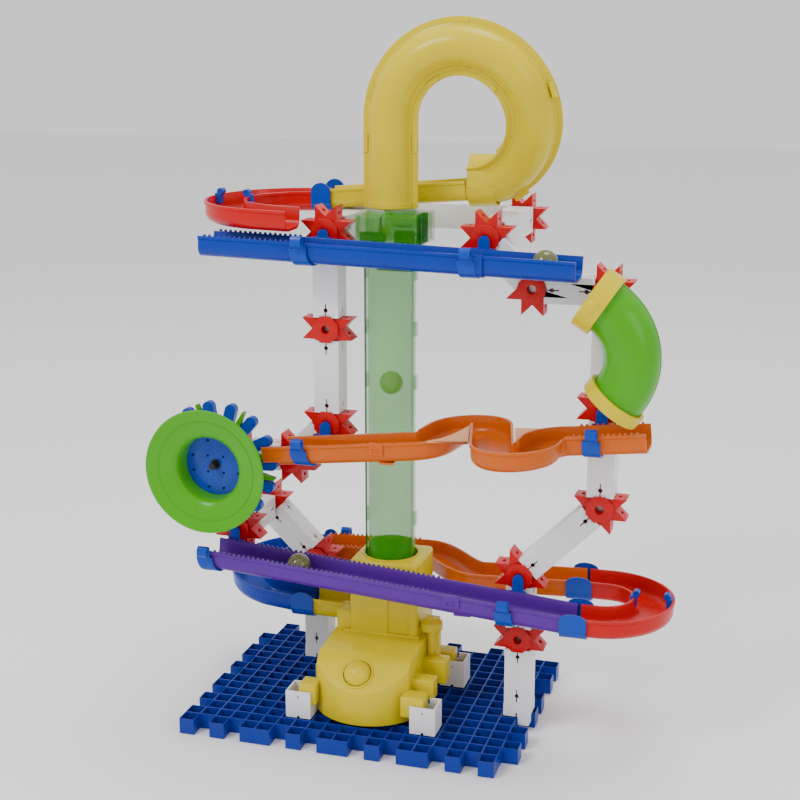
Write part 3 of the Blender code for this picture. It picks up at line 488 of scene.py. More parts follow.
def frame_tubes():
    corner = TUBE_SIDE / 2 + GAP
    link_end = HUB_DEPTH / 2 + GAP
    runs = (
        ("tube_rear_diagonal", rear("rear_low"), rear("rear_mid"), TUBE_END, TUBE_END),
        ("tube_knee_left", front("left_mid"), front("left_knee"), TUBE_END, TUBE_END),
        ("tube_left_lower", front("left_knee"), front("left_upper"), TUBE_END, TUBE_END),
        ("tube_left_upper", front("left_upper"), front("left_top"), TUBE_END, TUBE_END),
        ("tube_right_top_diagonal", front("right_top"), front("right_shoulder"), TUBE_END, TUBE_END),
        ("tube_right_top", front("right_shoulder"), front("right_corner"), TUBE_END, TUBE_END),
        ("tube_right_upper", front("right_upper"), front("right_corner"), TUBE_END, corner),
        ("tube_right_middle", front("right_mid"), front("right_upper"), TUBE_END, TUBE_END),
        ("tube_right_diagonal", front("right_knee"), front("right_mid"), TUBE_END, TUBE_END),
        ("tube_right_lower", front("right_low"), front("right_knee"), TUBE_END, TUBE_END),
        ("tube_depth_link", front("left_low"), rear("rear_mid"), link_end, link_end),
    )
    for node, start, end, trim_start, trim_end in runs:
        mesh = square_tube(start, end, trim_start, trim_end)
        add("visual_" + node, mesh, WHITE, (node,), bevel=0.45, segments=3)


def foot(node, x, y, top):
    """Post in a slightly wider foot block, with a small keyhole above the block."""
    half = TUBE_SIDE / 2
    low = PLATE_HEIGHT + GAP
    mesh = square_tube((x, y, low), (x, y, top), 0.0, TUBE_END, slots=(0, 1))
    mesh = combine(mesh, *key_slots((x, y, low + 17.0), (0, 0, 1), ((0, 1, 0),)))
    inner = half - TUBE_WALL
    block = combine(box((x - half - 0.3, y - half - 0.3, low), (x + half + 0.3, y + half + 0.3, low + 10)),
                    cut(box((x - inner, y - inner, 0), (x + inner, y + inner, 60))))
    steps = [fuse(block)]
    if node == "post_right":
        steps.append(fuse(box((250.6, y - 9.8, 6.0), (x + 9.8, y - 0.2, PLATE_HEIGHT + 2))))
    steps.append(cut(box((x - 0.6, y - 14, low - 1), (x + 0.6, y + 14, low + 3.2))))
    add("visual_" + node, combine(mesh, *steps), WHITE, (node,), bevel=0.35)


SOCKETS = (("socket_front_left", 88.5, 36.5), ("socket_front_right", 188.0, 36.5),
           ("socket_rear_left", 88.5, 125.0), ("socket_rear_right", 188.0, 125.0))
HOUSING_X = (99.0, 173.0)
ARM_LOW, ARM_HIGH, ARM_WIDTH = 23.8, 40.4, 15.0


def arm_box(x, y, grow=0.0):
    inner = HOUSING_X[0] + 3 if x < HOUSING_X[0] else HOUSING_X[1] - 3
    low_x, high_x = min(inner, x), max(inner, x)
    half = ARM_WIDTH / 2 + grow
    return box((low_x - grow, y - half, ARM_LOW - grow), (high_x + grow, y + half, ARM_HIGH + grow))


def sockets():
    low, high = PLATE_HEIGHT + GAP, 34.5
    for node, x, y in SOCKETS:
        mesh = square_tube((x, y, low), (x, y, high), 0, 0, slots=(0, 0))
        pin = cylinder((x, y, 30.0), (0, 1, 0), 0.9, 30.0, 14)
        nick = box((x - 1.2, y - 14, low - 1), (x + 1.2, y + 14, low + 1.6))
        notch = box((x - 0.8, y - 6, high - 4), (x + 0.8, y + 14, high + 1))
        mesh = combine(mesh, cut(arm_box(x, y, GAP)), cut(pin), cut(nick), cut(notch))
        add("visual_" + node, mesh, WHITE, (node,), bevel=0.3)


# ---------------------------------------------------------------- connectors
def star_outline():
    points = []
    for corner in range(16):
        radius = STAR_TIP if corner % 2 else STAR_VALLEY
        angle = math.radians(22.5 * corner)
        points.append((radius * math.cos(angle), radius * math.sin(angle)))
    return points


def octagon(apothem, depth, y=0.0, sides=8):
    radius = apothem / math.cos(math.pi / sides) * MM
    bm = bmesh.new()
    matrix = Matrix.Translation((0, y * MM, 0)) @ Matrix.Rotation(math.pi / 2, 4, "X")
    matrix = matrix @ Matrix.Rotation(math.pi / sides, 4, "Z")
    bmesh.ops.create_cone(bm, cap_ends=True, segments=sides, radius1=radius, radius2=radius,
                          depth=depth * MM, matrix=matrix)
    return mesh_from(bm)


def connector_mesh():
    """Star with raised hub plates, a round hole through and a slot across every tip; the tips' side faces are
    painted a paler red as a highlight.
    """
    body = prism(star_outline(), STAR_DEPTH, Matrix.Rotation(math.pi / 2, 4, "X"))
    plate = (HUB_DEPTH - TUBE_SIDE - 2 * GAP) / 2
    steps = [fuse(octagon(TUBE_END - GAP - 0.4, HUB_DEPTH - plate))]
    for side in (-1, 1):
        steps.append(fuse(octagon(HUB_APOTHEM, plate, side * (HUB_DEPTH - plate) / 2)))
    steps.append(cut(octagon(HUB_HOLE, HUB_DEPTH * 2, sides=24)))
    for tip in range(8):
        turn = Matrix.Rotation(math.radians(22.5 + 45 * tip), 4, "Y")
        bm = bmesh.new()
        shape = Matrix.Translation((15.6 * MM, 0, 0)) @ Matrix.Diagonal((1.25, 2.3, 1, 1))
        bmesh.ops.create_cone(bm, cap_ends=True, segments=14, radius1=MM, radius2=MM, depth=16 * MM,
                              matrix=turn @ shape)
        steps.append(cut(mesh_from(bm)))
    mesh = rounded(combine(body, *steps), 0.3, 2)
    mesh.materials.clear()
    mesh.materials.append(RED)
    mesh.materials.append(RED_PAINTED_HIGHLIGHT)
    # Side faces of the tips outside the hub take the paler red second material: a painted highlight standing
    # in for light falling on them.
    for face in mesh.polygons:
        centre = face.center
        outside = math.hypot(centre.x, centre.z) > 9.6 * MM
        face.material_index = 1 if outside and abs(face.normal.y) < 0.2 and face.area > 2e-6 else 0
    return mesh


def connectors():
    shape = connector_mesh()
    for plane, stars in ((PLANE_FRONT, FRONT_STARS), (PLANE_MIDDLE, MIDDLE_STARS)):
        for name, (x, z) in stars.items():
            mesh = moved(shape, Matrix.Translation(place(x, plane, z)))
            add("visual_connector_" + name, mesh, RED, ("connector_" + name,))
    return shape


def rear_frame(shape):
    left = (FRONT_STARS["left_top"][0], PLANE_REAR, FRONT_STARS["left_top"][1])
    right = (FRONT_STARS["right_top"][0], PLANE_REAR, FRONT_STARS["right_top"][1])
    pieces = [square_tube(left, right, TUBE_END, TUBE_END)]
    for station in (left, right):
        ahead = (station[0], PLANE_FRONT, station[2])
        end = HUB_DEPTH / 2 + GAP
        pieces.append(square_tube(ahead, station, end, end))
    add("visual_rear_beams", joined(pieces), WHITE, ("rear_frame",), bevel=0.45, segments=3)
    for name, station in (("left", left), ("right", right)):
        add("rear_connector_" + name, moved(shape, Matrix.Translation(place(*station))), RED)


def wheel_mount(shape):
    x, z = WHEEL[0], FRONT_STARS["left_mid"][1]
    centre = (x, PLANE_FRONT, z)
    add("wheel_mount_connector", moved(shape, Matrix.Translation(place(*centre))), RED, ("wheel_mount",))
    down = (FRONT_STARS["left_low"][0], PLANE_FRONT, z)
    low = (FRONT_STARS["left_low"][0], PLANE_FRONT, FRONT_STARS["left_low"][1])
    tubes = joined([square_tube(low, down),
                    square_tube(centre, front("left_mid"), TUBE_SIDE / 2 + GAP, TUBE_END)])
    add("wheel_mount_tubes", tubes, WHITE, bevel=0.45, segments=3)
    boss = combine(cylinder((x, 65.5, WHEEL[1]), (0, 1, 0), 7.0, 19.5, 40),
                   fuse(cylinder((x, 60.5, WHEEL[1]), (0, 1, 0), 2.6, 53.0, 24)))
    add("wheel_axle", boss, DARK, bevel=0.3)


# ---------------------------------------------------------------- tracks
def trough(steps=CORNER_STEPS):
    """Cross-section of a track: a lipped rim, straight sides and rounded bottom corners."""
    half, body = TRACK_WIDTH / 2, TRACK_WIDTH / 2 - TRACK_LIP
    corner, depth = TRACK_CORNER, TRACK_DEPTH
    inner = half - TRACK_WALL - 0.2
    outer = [(half - 0.3, 0.0), (half, -0.3), (half, -2.0), (body, -2.7)]
    outer += arc((body - corner, corner - depth), corner, 0, -90, steps)
    outer += arc((corner - body, corner - depth), corner, -90, -180, steps)
    outer += [(-body, -2.7), (-half, -2.0), (-half, -0.3), (0.3 - half, 0.0)]
    hollow = corner - TRACK_WALL
    inside = [(-inner - 0.2, 0.0), (-inner, -0.3)]
    inside += arc((hollow - inner, corner - depth), hollow, 180, 270, steps)
    inside += arc((inner - hollow, corner - depth), hollow, 270, 360, steps)
    inside += [(inner, -0.3), (inner + 0.2, 0.0)]
    return outer + inside


def teeth(stations, y, rim):
    """Rack teeth along the rims of a straight stretch."""
    bm = bmesh.new()
    low_x, high_x = stations
    count = int((high_x - low_x) / TOOTH_PITCH)
    for number in range(count):
        x = low_x + (number + 0.3) * TOOTH_PITCH
        for side in (-1, 1):
            outer = y + side * (TRACK_WIDTH / 2 - 0.2)
            inner = y + side * (TRACK_WIDTH / 2 - TRACK_WALL)
            profile = ((x, -0.3), (x + 0.5, 1.5), (x + 1.5, 1.5), (x + 2.4, -0.3))
            rows = [[bm.verts.new(place(px, py, rim(px) + up)) for px, up in profile]
                    for py in (outer, inner)]
            bm.faces.new(rows[0])
            bm.faces.new(rows[1])
            for k in range(4):
                bm.faces.new((rows[0][k], rows[0][(k + 1) % 4], rows[1][(k + 1) % 4], rows[1][k]))
    return mesh_from(bm)


def around(y, rim, grow, side=1, steps=WRAP_STEPS):
    """Stations in Y and Z of a strap round a track, from its back rim under to its front rim."""
    half = TRACK_WIDTH / 2 + grow
    corner = TRACK_CORNER + grow
    low = rim - TRACK_DEPTH - grow
    points = [(y + half, rim + 0.5)]
    points += arc((y + half - corner, low + corner), corner, 0, -90, steps)
    points += arc((y - half + corner, low + corner), corner, -90, -180, steps)
    points.append((y - half, rim + 0.5))
    if side < 0:
        points = [(2 * y - py, pz) for py, pz in points]
    return points


def hanger(name, x, rim, hub_z, y=FRONT_Y, side=1, lean=-10.0):
    """Strap under a track from a peg plate in a connector's hub to a curled hook on the far rim."""
    half = TRACK_WIDTH / 2 + 0.8
    line = around(y, rim, 0.8, side=side)
    points = []
    for number, (py, pz) in enumerate(line):
        points.append((x + lean * number / (len(line) - 1), py, pz))
    points[-1] = (points[-1][0], points[-1][1], rim - 4.0)
    hook = [(-half - 0.1, -5.5), (-half - 0.2, 1.8), (-half - 1.0, 4.0), (-half - 2.9, 5.0),
            (-half - 4.9, 4.4), (-half - 6.0, 2.4), (-half - 5.9, -0.8), (-half - 4.4, -2.4)]
    curl = ribbon([(x + lean + 0.6, y + side * dy, rim + dz) for dy, dz in hook], 8.2, 1.5)
    add(name + "_strap", joined([ribbon(points, 13.0, 1.5), curl]), CLIP_BLUE, bevel=0.25, smooth=50)
    face = y + side * (half + 0.9)
    radius, sink = 4.2, 1.4
    base = min(rim - TRACK_DEPTH * 0.6, hub_z - 6)
    outline = [(-radius, base - hub_z)] + arc((0, -sink), radius, 180, 0, 14) + [(radius, base - hub_z)]
    plate = prism(outline, 1.5, standing(x, face - side * 0.8, hub_z))
    peg = cylinder((x, face + side * 5.0, hub_z), (0, 1, 0), HUB_HOLE - 0.5, 10.5, 24)
    add(name + "_plate", combine(plate, fuse(peg)), CLIP_BLUE, bevel=0.25)


def joint_clip(name, x, y, rim, width=16.0, rise=6.0):
    """Strap round the joint of two tracks with a round-topped tab standing over each rim."""
    points = [(x, py, pz) for py, pz in around(y, rim, 0.8)[1:-1]]
    strap = ribbon(points, width, 1.3)
    tabs = []
    half = TRACK_WIDTH / 2 + 0.8
    for side in (-1, 1):
        radius = width / 2
        dome = [(px, py * (rise + 1.5) / radius - 1.5) for px, py in arc((0, 0), radius, 180, 0, 16)]
        outline = [(-radius, -9.5)] + dome + [(radius, -9.5)]
        outline.reverse()
        tabs.append(prism(outline, 1.5, standing(x, y + side * half, rim)))
    add(name, joined([strap] + tabs), CLIP_BLUE, bevel=0.25, smooth=50)


def saddle(name, x, y, rim, material, width=14.0):
    """Raised band round a track where two mouldings meet."""
    points = [(x, py, pz) for py, pz in around(y, rim, 0.55)]
    add(name, ribbon(points, width, 1.1), material, bevel=0.3, smooth=50)


def tab(name, x, y, rim, material, width=11.0):
    """Snap tab on a track's front wall, with a catch below."""
    front_y = y - TRACK_WIDTH / 2
    low = rim - 9.0
    plate = box((x - width / 2, front_y - 0.5, low), (x + width / 2, front_y + 2.0, rim + 0.4))
    window = box((x - width / 4, front_y - 1.5, low + 1.5), (x + width / 4, front_y + 0.3, low + 4.5))
    add(name, combine(plate, cut(window)), material, bevel=0.3)
    catch = box((x + 1, y - 12, rim - TRACK_DEPTH - 1.2), (x + 1 + width, y + 12, rim - TRACK_DEPTH + 0.6))
    add(name + "_catch", catch, material, bevel=0.4)


def straight_points(line):
    (x0, y, z0), (x1, _, z1) = line
    count = max(int(abs(x1 - x0) / PATH_STEP), 1)
    return [(x0 + (x1 - x0) * k / count, y, z0 + (z1 - z0) * k / count) for k in range(count + 1)]


def track(name, path, material, nodes=()):
    return add(name, sweep(path, trough()), material, nodes, bevel=0.0, smooth=40)


def straight_tracks():
    track("visual_upper_track", straight_points(BLUE_TRACK), BLUE, ("upper_track",))
    add("upper_track_teeth", teeth((14, 84), FRONT_Y, lambda x: rim_at(BLUE_TRACK, x)), BLUE)
    saddle("upper_track_sleeve", 218.0, FRONT_Y, rim_at(BLUE_TRACK, 218.0), BLUE, 17.0)
    saddle("upper_track_left_sleeve", 92.0, FRONT_Y, rim_at(BLUE_TRACK, 92.0), BLUE, 8.0)
    for star, lean in (("left_top", -7.5), ("right_top", -5.0)):
        x, z = FRONT_STARS[star]
        hanger("upper_hanger_" + star, x, rim_at(BLUE_TRACK, x), z, lean=lean)

    track("visual_lower_track", straight_points(PURPLE_TRACK), PURPLE, ("lower_track",))
    add("lower_track_teeth", teeth((14, 190), FRONT_Y, lambda x: rim_at(PURPLE_TRACK, x)), PURPLE)
    tab("lower_track_tab", 206.0, FRONT_Y, rim_at(PURPLE_TRACK, 206.0), PURPLE, 13.0)
    for star, lean in (("left_low", -11.5), ("right_knee", -4.0)):
        x, z = FRONT_STARS[star]
        hanger("lower_hanger_" + star, x, rim_at(PURPLE_TRACK, x), z, lean=lean)

    track("visual_exit_track", straight_points(EXIT_TRACK), YELLOW, ("exit_track",))


BEND_RADIUS = 17.0
MIDDLE_ENDS = ((57.0, FRONT_Y), (344.0, FRONT_Y))
MIDDLE_BENDS = ((170.0, 73.0), (207.0, 86.0), (254.0, 34.0), (288.0, 39.0))


def bend_headings(centres):
    """Headings in degrees on each side of the bends, which turn left and right in turn."""
    headings = [0.0]
    left = True
    for first, second in zip(centres, centres[1:]):
        across = (second[0] - first[0], second[1] - first[1])
        tilt = math.degrees(math.asin(2 * BEND_RADIUS / math.hypot(*across)))
        headings.append(math.degrees(math.atan2(across[1], across[0])) + (tilt if left else -tilt))
        left = not left
    return headings + [0.0]


def swing_path(ends, centres, steps):
    """Plan of a track that swings round its bend centres, turning left first and right next."""
    headings = bend_headings(centres)
    points = [ends[0]]
    for number, centre in enumerate(centres):
        quarter = 90 if number % 2 else -90
        points += arc(centre, BEND_RADIUS, headings[number] + quarter, headings[number + 1] + quarter, steps)
    return points + [ends[1]]


def middle_rim(x):
    return 223.6 + (256.8 - 223.6) * (x - 57.0) / (344.0 - 57.0)


def web(name, outline):
    """Flat flange at rim height over an outline of X and Y, sloping with the middle track; its paler orange
    is a painted highlight on its top face.
    """
    flat = prism([(x - ORIGIN[0], y - ORIGIN[1]) for x, y in outline], 1.4, Matrix.Identity(4))
    for vertex in flat.vertices:
        vertex.co.z += (middle_rim(vertex.co.x / MM + ORIGIN[0]) - 0.9) * MM
    # The paler orange stands in for light on the flange's top: a painted highlight.
    add(name, flat, ORANGE_PAINTED_HIGHLIGHT, bevel=0.2)


def middle_webs():
    """Flanges that fill the bays between the swings and the straight sides."""
    half = TRACK_WIDTH / 2
    headings = bend_headings(MIDDLE_BENDS)
    wall = BEND_RADIUS + half - 0.4
    first, back, forward, last = MIDDLE_BENDS
    bay = arc(first, wall, -62, headings[1] - 90, 12)
    crossing = math.radians(headings[2])
    foot = (back[0] + 52 * math.cos(crossing), back[1] + 52 * math.sin(crossing))
    web("middle_web_front", bay + [(back[0] + 0.5, back[1] + 0.5), foot, (foot[0], FRONT_Y - half)])
    crest = (forward[0] - 42 * math.cos(crossing), forward[1] - 42 * math.sin(crossing))
    bay = arc(last, wall, headings[3] + 90, 118, 12)
    web("middle_web_back",
        [crest, (forward[0] - 0.5, forward[1] - 0.5)] + bay + [(crest[0], FRONT_Y + half + 2)])


def middle_track():
    plan = swing_path(MIDDLE_ENDS, MIDDLE_BENDS, 18)
    path = [(x, y, middle_rim(x)) for x, y in plan]
    reach = 51.0
    centre = (WHEEL[0], FRONT_Y + 5.0, WHEEL[1])
    mesh = combine(sweep(path, trough()), cut(cylinder(centre, (0, 1, 0), reach, 38.0, 96)))
    add("visual_middle_track", mesh, ORANGE, ("middle_track",), smooth=40)
    add("middle_track_teeth", teeth((292, 342), FRONT_Y, middle_rim), ORANGE)
    middle_webs()
    tab("middle_track_tab", 148.0, FRONT_Y, middle_rim(148.0), ORANGE)
    for star, lean in (("left_knee", -10.0), ("right_upper", -2.0)):
        x, z = FRONT_STARS[star]
        hanger("middle_hanger_" + star, x, middle_rim(x), z, lean=lean)


REAR_Y_RIGHT, REAR_Y_LEFT = 133.0, 179.0


def rear_rim(x):
    return 103.5 + (x - 58.0) * (113.6 - 103.5) / (290.0 - 58.0)


def rear_centre(x):
    return REAR_Y_LEFT + (REAR_Y_RIGHT - REAR_Y_LEFT) * wave(x, 146, 206)


def rear_track():
    stations = [58.0, 76.0, 94.0, 112.0, 130.0] + list(range(142, 214, 3)) + [230.0, 250.0, 270.0, 290.0]
    path = [(x, rear_centre(x), rear_rim(x)) for x in stations]
    track("visual_rear_track", path, ORANGE, ("rear_track",))
    add("rear_track_teeth", teeth((60, 140), REAR_Y_LEFT, rear_rim), ORANGE)
    x, z = MIDDLE_STARS["rear_low"]
    hanger("rear_hanger", x, rear_rim(x), z, REAR_Y_LEFT, side=-1, lean=6.0)


def turn_points(centre, radius, start, end, z_start, z_end, steps=TURN_STEPS):
    points = []
    for step, (x, y) in enumerate(arc(centre, radius, start, end, steps)):
        points.append((x, y, z_start + (z_end - z_start) * step / steps))
    return points


def peg(name, x, y, rim, outward):
    """Small clip that sits on a rim, with a stub tab pointing outward."""
    turn = math.atan2(outward[1], outward[0])
    at = Matrix.Translation(place(x, y, rim)) @ Matrix.Rotation(turn, 4, "Z")
    ox, oy = ORIGIN[0], ORIGIN[1]
    saddle_block = moved(box((ox - 2.6, oy - 3.6, -7.0), (ox + 2.0, oy + 3.6, 1.2)), at)
    stub = moved(cylinder((ox - 2.2, oy, 2.6), (0, 1, 0), 2.6, 6.4, 24), at)
    add(name, combine(saddle_block, fuse(stub)), CLIP_BLUE, bevel=0.3)


def turns():
    radius = (EXIT_Y - FRONT_Y) / 2
    centre = (58.0, (EXIT_Y + FRONT_Y) / 2)
    path = [(72.0, EXIT_Y, 406.6)] + turn_points(centre, radius, 90, 270, 406.0, 402.6)
    path += [(80.0, FRONT_Y, 402.0)]
    track("visual_upper_turn", path, RED, ("upper_turn",))
    joint_clip("upper_turn_clip", 74.0, EXIT_Y, 407.5, 16.0)
    outer, inner = radius + TRACK_WIDTH / 2 - 0.6, radius - TRACK_WIDTH / 2 + 0.6
    peg("upper_turn_peg_outer", centre[0] - outer + 2.6, centre[1] + 8, 404.6, (-1, 0))
    peg("upper_turn_peg_inner", centre[0] - inner - 0.6, centre[1] + 4, 404.6, (1, 0))

    radius = (REAR_Y_RIGHT - FRONT_Y) / 2
    centre = (310.3, (REAR_Y_RIGHT + FRONT_Y) / 2)
    path = [(298.5, FRONT_Y, 114.0)] + turn_points(centre, radius, -90, 90, 114.0, 113.8)
    track("visual_right_turn", path + [(292.5, REAR_Y_RIGHT, 113.6)], RED, ("right_turn",))
    joint_clip("right_turn_front_clip", 297.5, FRONT_Y, 114.2, 20.0, 3.6)
    joint_clip("right_turn_rear_clip", 288.5, REAR_Y_RIGHT, 113.8, 20.0, 3.6)
    outer, inner = radius + TRACK_WIDTH / 2 - 0.6, radius - TRACK_WIDTH / 2 + 0.6
    peg("right_turn_peg_outer", centre[0] + outer - 3.4, centre[1] + 4, 114.0, (1, 0))
    peg("right_turn_peg_inner", centre[0] + inner, centre[1] + 4, 114.0, (-1, 0))

    front_y = 120.5
    radius = (REAR_Y_LEFT - front_y) / 2
    centre = (32.0, (REAR_Y_LEFT + front_y) / 2)
    path = [(55.5, REAR_Y_LEFT, 103.0)] + turn_points(centre, radius, 90, 270, 100.0, 82.0)
    track("visual_left_turn", path + [(66.0, front_y, 79.0)], BLUE, ("left_turn",))
    joint_clip("left_turn_clip", 64.0, front_y, 79.2, 19.0, 4.6)
    joint_clip("left_turn_rear_clip", 57.0, REAR_Y_LEFT, 103.4, 12.0, 4.0)


# ---------------------------------------------------------------- lift tube, loop and side tube
def lift():
    x, y = TOWER
    tube = thick(pipe(((x, y, LIFT_BOTTOM), (x, y, LIFT_TOP)), LIFT_RADIUS - 1.3, 14), 1.4)
    add("visual_lift_tube", tube, CLEAR_GREEN, ("lift_tube",), smooth=60)
    seam = box((x - 17.2, y - 14.0, 127.0), (x - 15.8, y - 12.4, 371.0))
    add("lift_seam_left", seam, CLEAR_DARK, bevel=0.3)
    edge = [box((x + 18.6, y - 8.2, 127.0), (x + 19.8, y - 6.6, 371.0))]
    for z in (150, 205, 260, 302, 345):
        for side in (-1, 1):
            edge.append(box((x + side * 19.6 - 1.2, y - 3.0, z), (x + side * 19.6 + 1.2, y + 2.6, z + 11)))
    add("lift_seam_right", joined(edge), CLEAR_COLLAR, bevel=0.3)
    ring = combine(cylinder((x, y, 124.6), (0, 0, 1), LIFT_RADIUS - 2.8, 18.0, 64),
                   cut(cylinder((x, y, 124.6), (0, 0, 1), LIFT_RADIUS - 4.2, 40.0, 64)))
    add("lift_bottom_ring", ring, CLEAR_DARK, bevel=0.3)

    shell = rounded(box((x - 21.4, y - 25, 372), (x + 28.0, y + 25, 396)), 2.0, 3)
    hollow = box((x - 20, y - 23.2, 374), (x + 26, y + 23.2, 394))
    collar = combine(shell, cut(hollow),
                     cut(cylinder((x, y, 384), (0, 0, 1), LIFT_RADIUS + GAP, 60, 64)),
                     cut(box((x - 30, y - 30, 370), (x - 20.5, y - 14.4, 400))),
                     cut(box((x - 30, y + 6.5, 370), (x - 11, y + 30, 400))))
    add("visual_tube_collar", collar, CLEAR_COLLAR, ("tube_collar",), smooth=30)
    ribs = [box((x - 16.8, y - 24.4, 373), (x + 2.8, y - 21.5, 383.5)),
            box((x - 1.6, y - 24.6, 383), (x, y - 22, 395)),
            box((x + 10.0, y - 24.2, 373), (x + 25.0, y - 21.0, 385.5)),
            box((x + 8.0, y - 24.0, 388), (x + 24, y - 22.6, 389.4))]
    for step in range(4):
        z = 376.5 + 5.4 * step
        ribs.append(box((x + 25.4, y - 23.5, z), (x + 29.6, y - 12.0, z + 1.4)))
        ribs.append(box((x + 26.0, y - 21.5 + 5.5 * step, 375), (x + 30.2, y - 20.2 + 5.5 * step, 397)))
    for z in (355.0, 360.4):
        ribs.append(box((x - 3.6, y - 24.0, z), (x + 25.0, y - 22.8, z + 1.1)))
    ribs.append(box((x + 12.0, y - 24.0, 355.4), (x + 21.0, y - 22.2, 361.0)))
    ribs.append(box((x + 23.8, y - 24.2, 355.0), (x + 25.2, y - 20.8, 374.0)))
    add("collar_ribs", joined(ribs), CLEAR_DARK, bevel=0.2)


def loop_point(angle):
    """Station on the loop's centre line at an angle round its ring."""
    a = math.radians(angle)
    depth = TOWER[1] + (EXIT_Y - TOWER[1]) * wave(angle, 75, -90)
    return (TOWER[0] + LOOP_RADIUS * (1 + math.cos(a)), depth, LOOP_CENTRE_Z + LOOP_RADIUS * math.sin(a))


def loop_path():
    x, y = TOWER
    path = [(x, y, LIFT_TOP + 1.0), (x, y, 420.0), (x, y, 443.0)]
    return path + [loop_point(angle) for angle in range(180, -91, -5)]


def loop_outline(side):
    inner, seam, flange = LOOP_TUBE - 1.8, GAP / 2, 1.3
    start = math.degrees(math.asin((seam + flange) / LOOP_TUBE))
    shell = arc((0, 0), LOOP_TUBE, start, 180 - start, 26)
    inner_start = math.degrees(math.asin(seam / inner))
    hollow = arc((0, 0), inner, 180 - inner_start, inner_start, 22)
    points = [(LOOP_FLANGE, seam), (LOOP_FLANGE, seam + flange - 0.3), (LOOP_FLANGE - 0.3, seam + flange)]
    points += [(LOOP_TUBE + 1.6, seam + flange), (LOOP_TUBE + 1.2, seam + flange + 1.0)] + shell[1:-1]
    points += [(-LOOP_TUBE - 1.2, seam + flange + 1.0), (-LOOP_TUBE - 1.6, seam + flange)]
    points += [(0.3 - LOOP_FLANGE, seam + flange), (-LOOP_FLANGE, seam + flange - 0.3)]
    points += [(-LOOP_FLANGE, seam)] + hollow
    return [(u, side * v) for u, v in points]


def loop():
    path = loop_path()
    for node, side in (("loop_front_shell", 1), ("loop_rear_shell", -1)):
        add("visual_" + node, sweep(path, loop_outline(side), "MINIMUM"), YELLOW, (node,), smooth=38)
    tabs = []
    outer, inner = 70.3, 33.4
    for angle, radius in ((163, outer), (89, outer), (18, outer), (-55, outer), (126, inner), (48, inner),
                          (-40, inner)):
        y = loop_point(angle)[1]
        a = math.radians(angle)
        at = place(TOWER[0] + LOOP_RADIUS + radius * math.cos(a), y, LOOP_CENTRE_Z + radius * math.sin(a))
        turn = Matrix.Rotation(-a, 4, "Y")
        size = Matrix.Diagonal((3.6 * MM, 4.6 * MM, 12.0 * MM, 1))
        bm = bmesh.new()
        bmesh.ops.create_cube(bm, size=1.0, matrix=Matrix.Translation(at) @ turn @ size)
        tabs.append(mesh_from(bm))
    for side in (-1, 1):
        x = TOWER[0] + side * (LOOP_FLANGE - 1.9)
        tabs.append(box((x - 1.8, TOWER[1] - 2.4, 440), (x + 1.8, TOWER[1] + 2.4, 454)))
    add("loop_tabs", joined(tabs), YELLOW, bevel=0.4)
    x, y = TOWER
    cuff = combine(cylinder((x, y, 401.8), (0, 0, 1), LOOP_TUBE + 2.4, 4.4, 64),
                   cut(cylinder((x, y, 401.8), (0, 0, 1), LOOP_TUBE - 1.0, 20, 64)))
    add("loop_cuff", cuff, YELLOW, bevel=0.5)
    end_x, end_y, end_z = loop_point(-90)
    hood_path = [(end_x + 19.5, end_y, end_z), (end_x - 0.4, end_y, end_z)]
    upper = arc((0, 0), LOOP_TUBE + 0.6, 0, 180, 28) + arc((0, 0), LOOP_TUBE - 0.6, 180, 0, 28)
    hood = [(u, v * 1.56) for u, v in upper]
    add("loop_mouth_hood", sweep(hood_path, hood), YELLOW, smooth=40)
    sleeve_path = [(end_x + 20.0, end_y, end_z + 1.6), (end_x - 0.6, end_y, end_z)]
    lower = arc((0, 0), LOOP_TUBE + 1.3, 182, 358, 24) + arc((0, 0), LOOP_TUBE + 0.1, 358, 182, 24)
    add("loop_mouth_sleeve", sweep(sleeve_path, lower), YELLOW, smooth=40)


SIDE_TUBE_Y, SIDE_TUBE_CENTRE, SIDE_TUBE_RADIUS = 50.0, (288.0, 306.5), 44.0


def side_point(angle, radius=SIDE_TUBE_RADIUS):
    a = math.radians(angle)
    x, z = SIDE_TUBE_CENTRE
    return Vector((x + radius * math.cos(a), SIDE_TUBE_Y, z + radius * math.sin(a)))


def side_tube():
    path = [side_point(57 - 95 * k / 30) for k in range(31)]
    add("visual_side_tube", thick(pipe(path, 19.7, 14), 1.8), GREEN, ("side_tube",), smooth=60)
    rib = [(-1.3, -0.6), (1.3, -0.6), (1.3, 0.6), (-1.3, 0.6)]
    for name, radius in (("outer", SIDE_TUBE_RADIUS + 19.4), ("inner", SIDE_TUBE_RADIUS - 19.4)):
        line = [side_point(56 - 93 * k / 30, radius) for k in range(31)]
        add("side_tube_seam_" + name, sweep(line, rib, "MINIMUM"), GREEN, bevel=0.2)
    for node, angle, length, back in (("side_collar_top", 57, 14.0, 1.0),
                                      ("side_collar_bottom", -38, -9.5, -0.5)):
        a = math.radians(angle)
        along = Vector((-math.sin(a), 0, math.cos(a)))
        start = side_point(angle) - along * back
        stops = (0.0, 0.25, 0.75, 1.0)
        ring = thick(pipe([start + along * length * stop for stop in stops], 23.4, 14), 2.8)
        add("visual_" + node, ring, YELLOW, (node,), bevel=0.6, segments=3, smooth=30)
        if length > 0:
            middle = start + along * length * 0.5
            at = Matrix.Translation(place(middle.x, SIDE_TUBE_Y - 22.6, middle.z))
            at = at @ Matrix.Rotation(-a, 4, "Y")
            bm = bmesh.new()
            bmesh.ops.create_uvsphere(bm, u_segments=28, v_segments=16, radius=5.2 * MM,
                                      matrix=at @ Matrix.Diagonal((1, 0.32, 1, 1)))
            bar = bmesh.new()
            size = Matrix.Diagonal((8.6 * MM, 4.0 * MM, 1.6 * MM, 1))
            bmesh.ops.create_cube(bar, size=1.0, matrix=at @ Matrix.Rotation(0.35, 4, "Y") @ size)
            add("side_collar_knob", combine(mesh_from(bm), fuse(mesh_from(bar))), YELLOW, smooth=40)


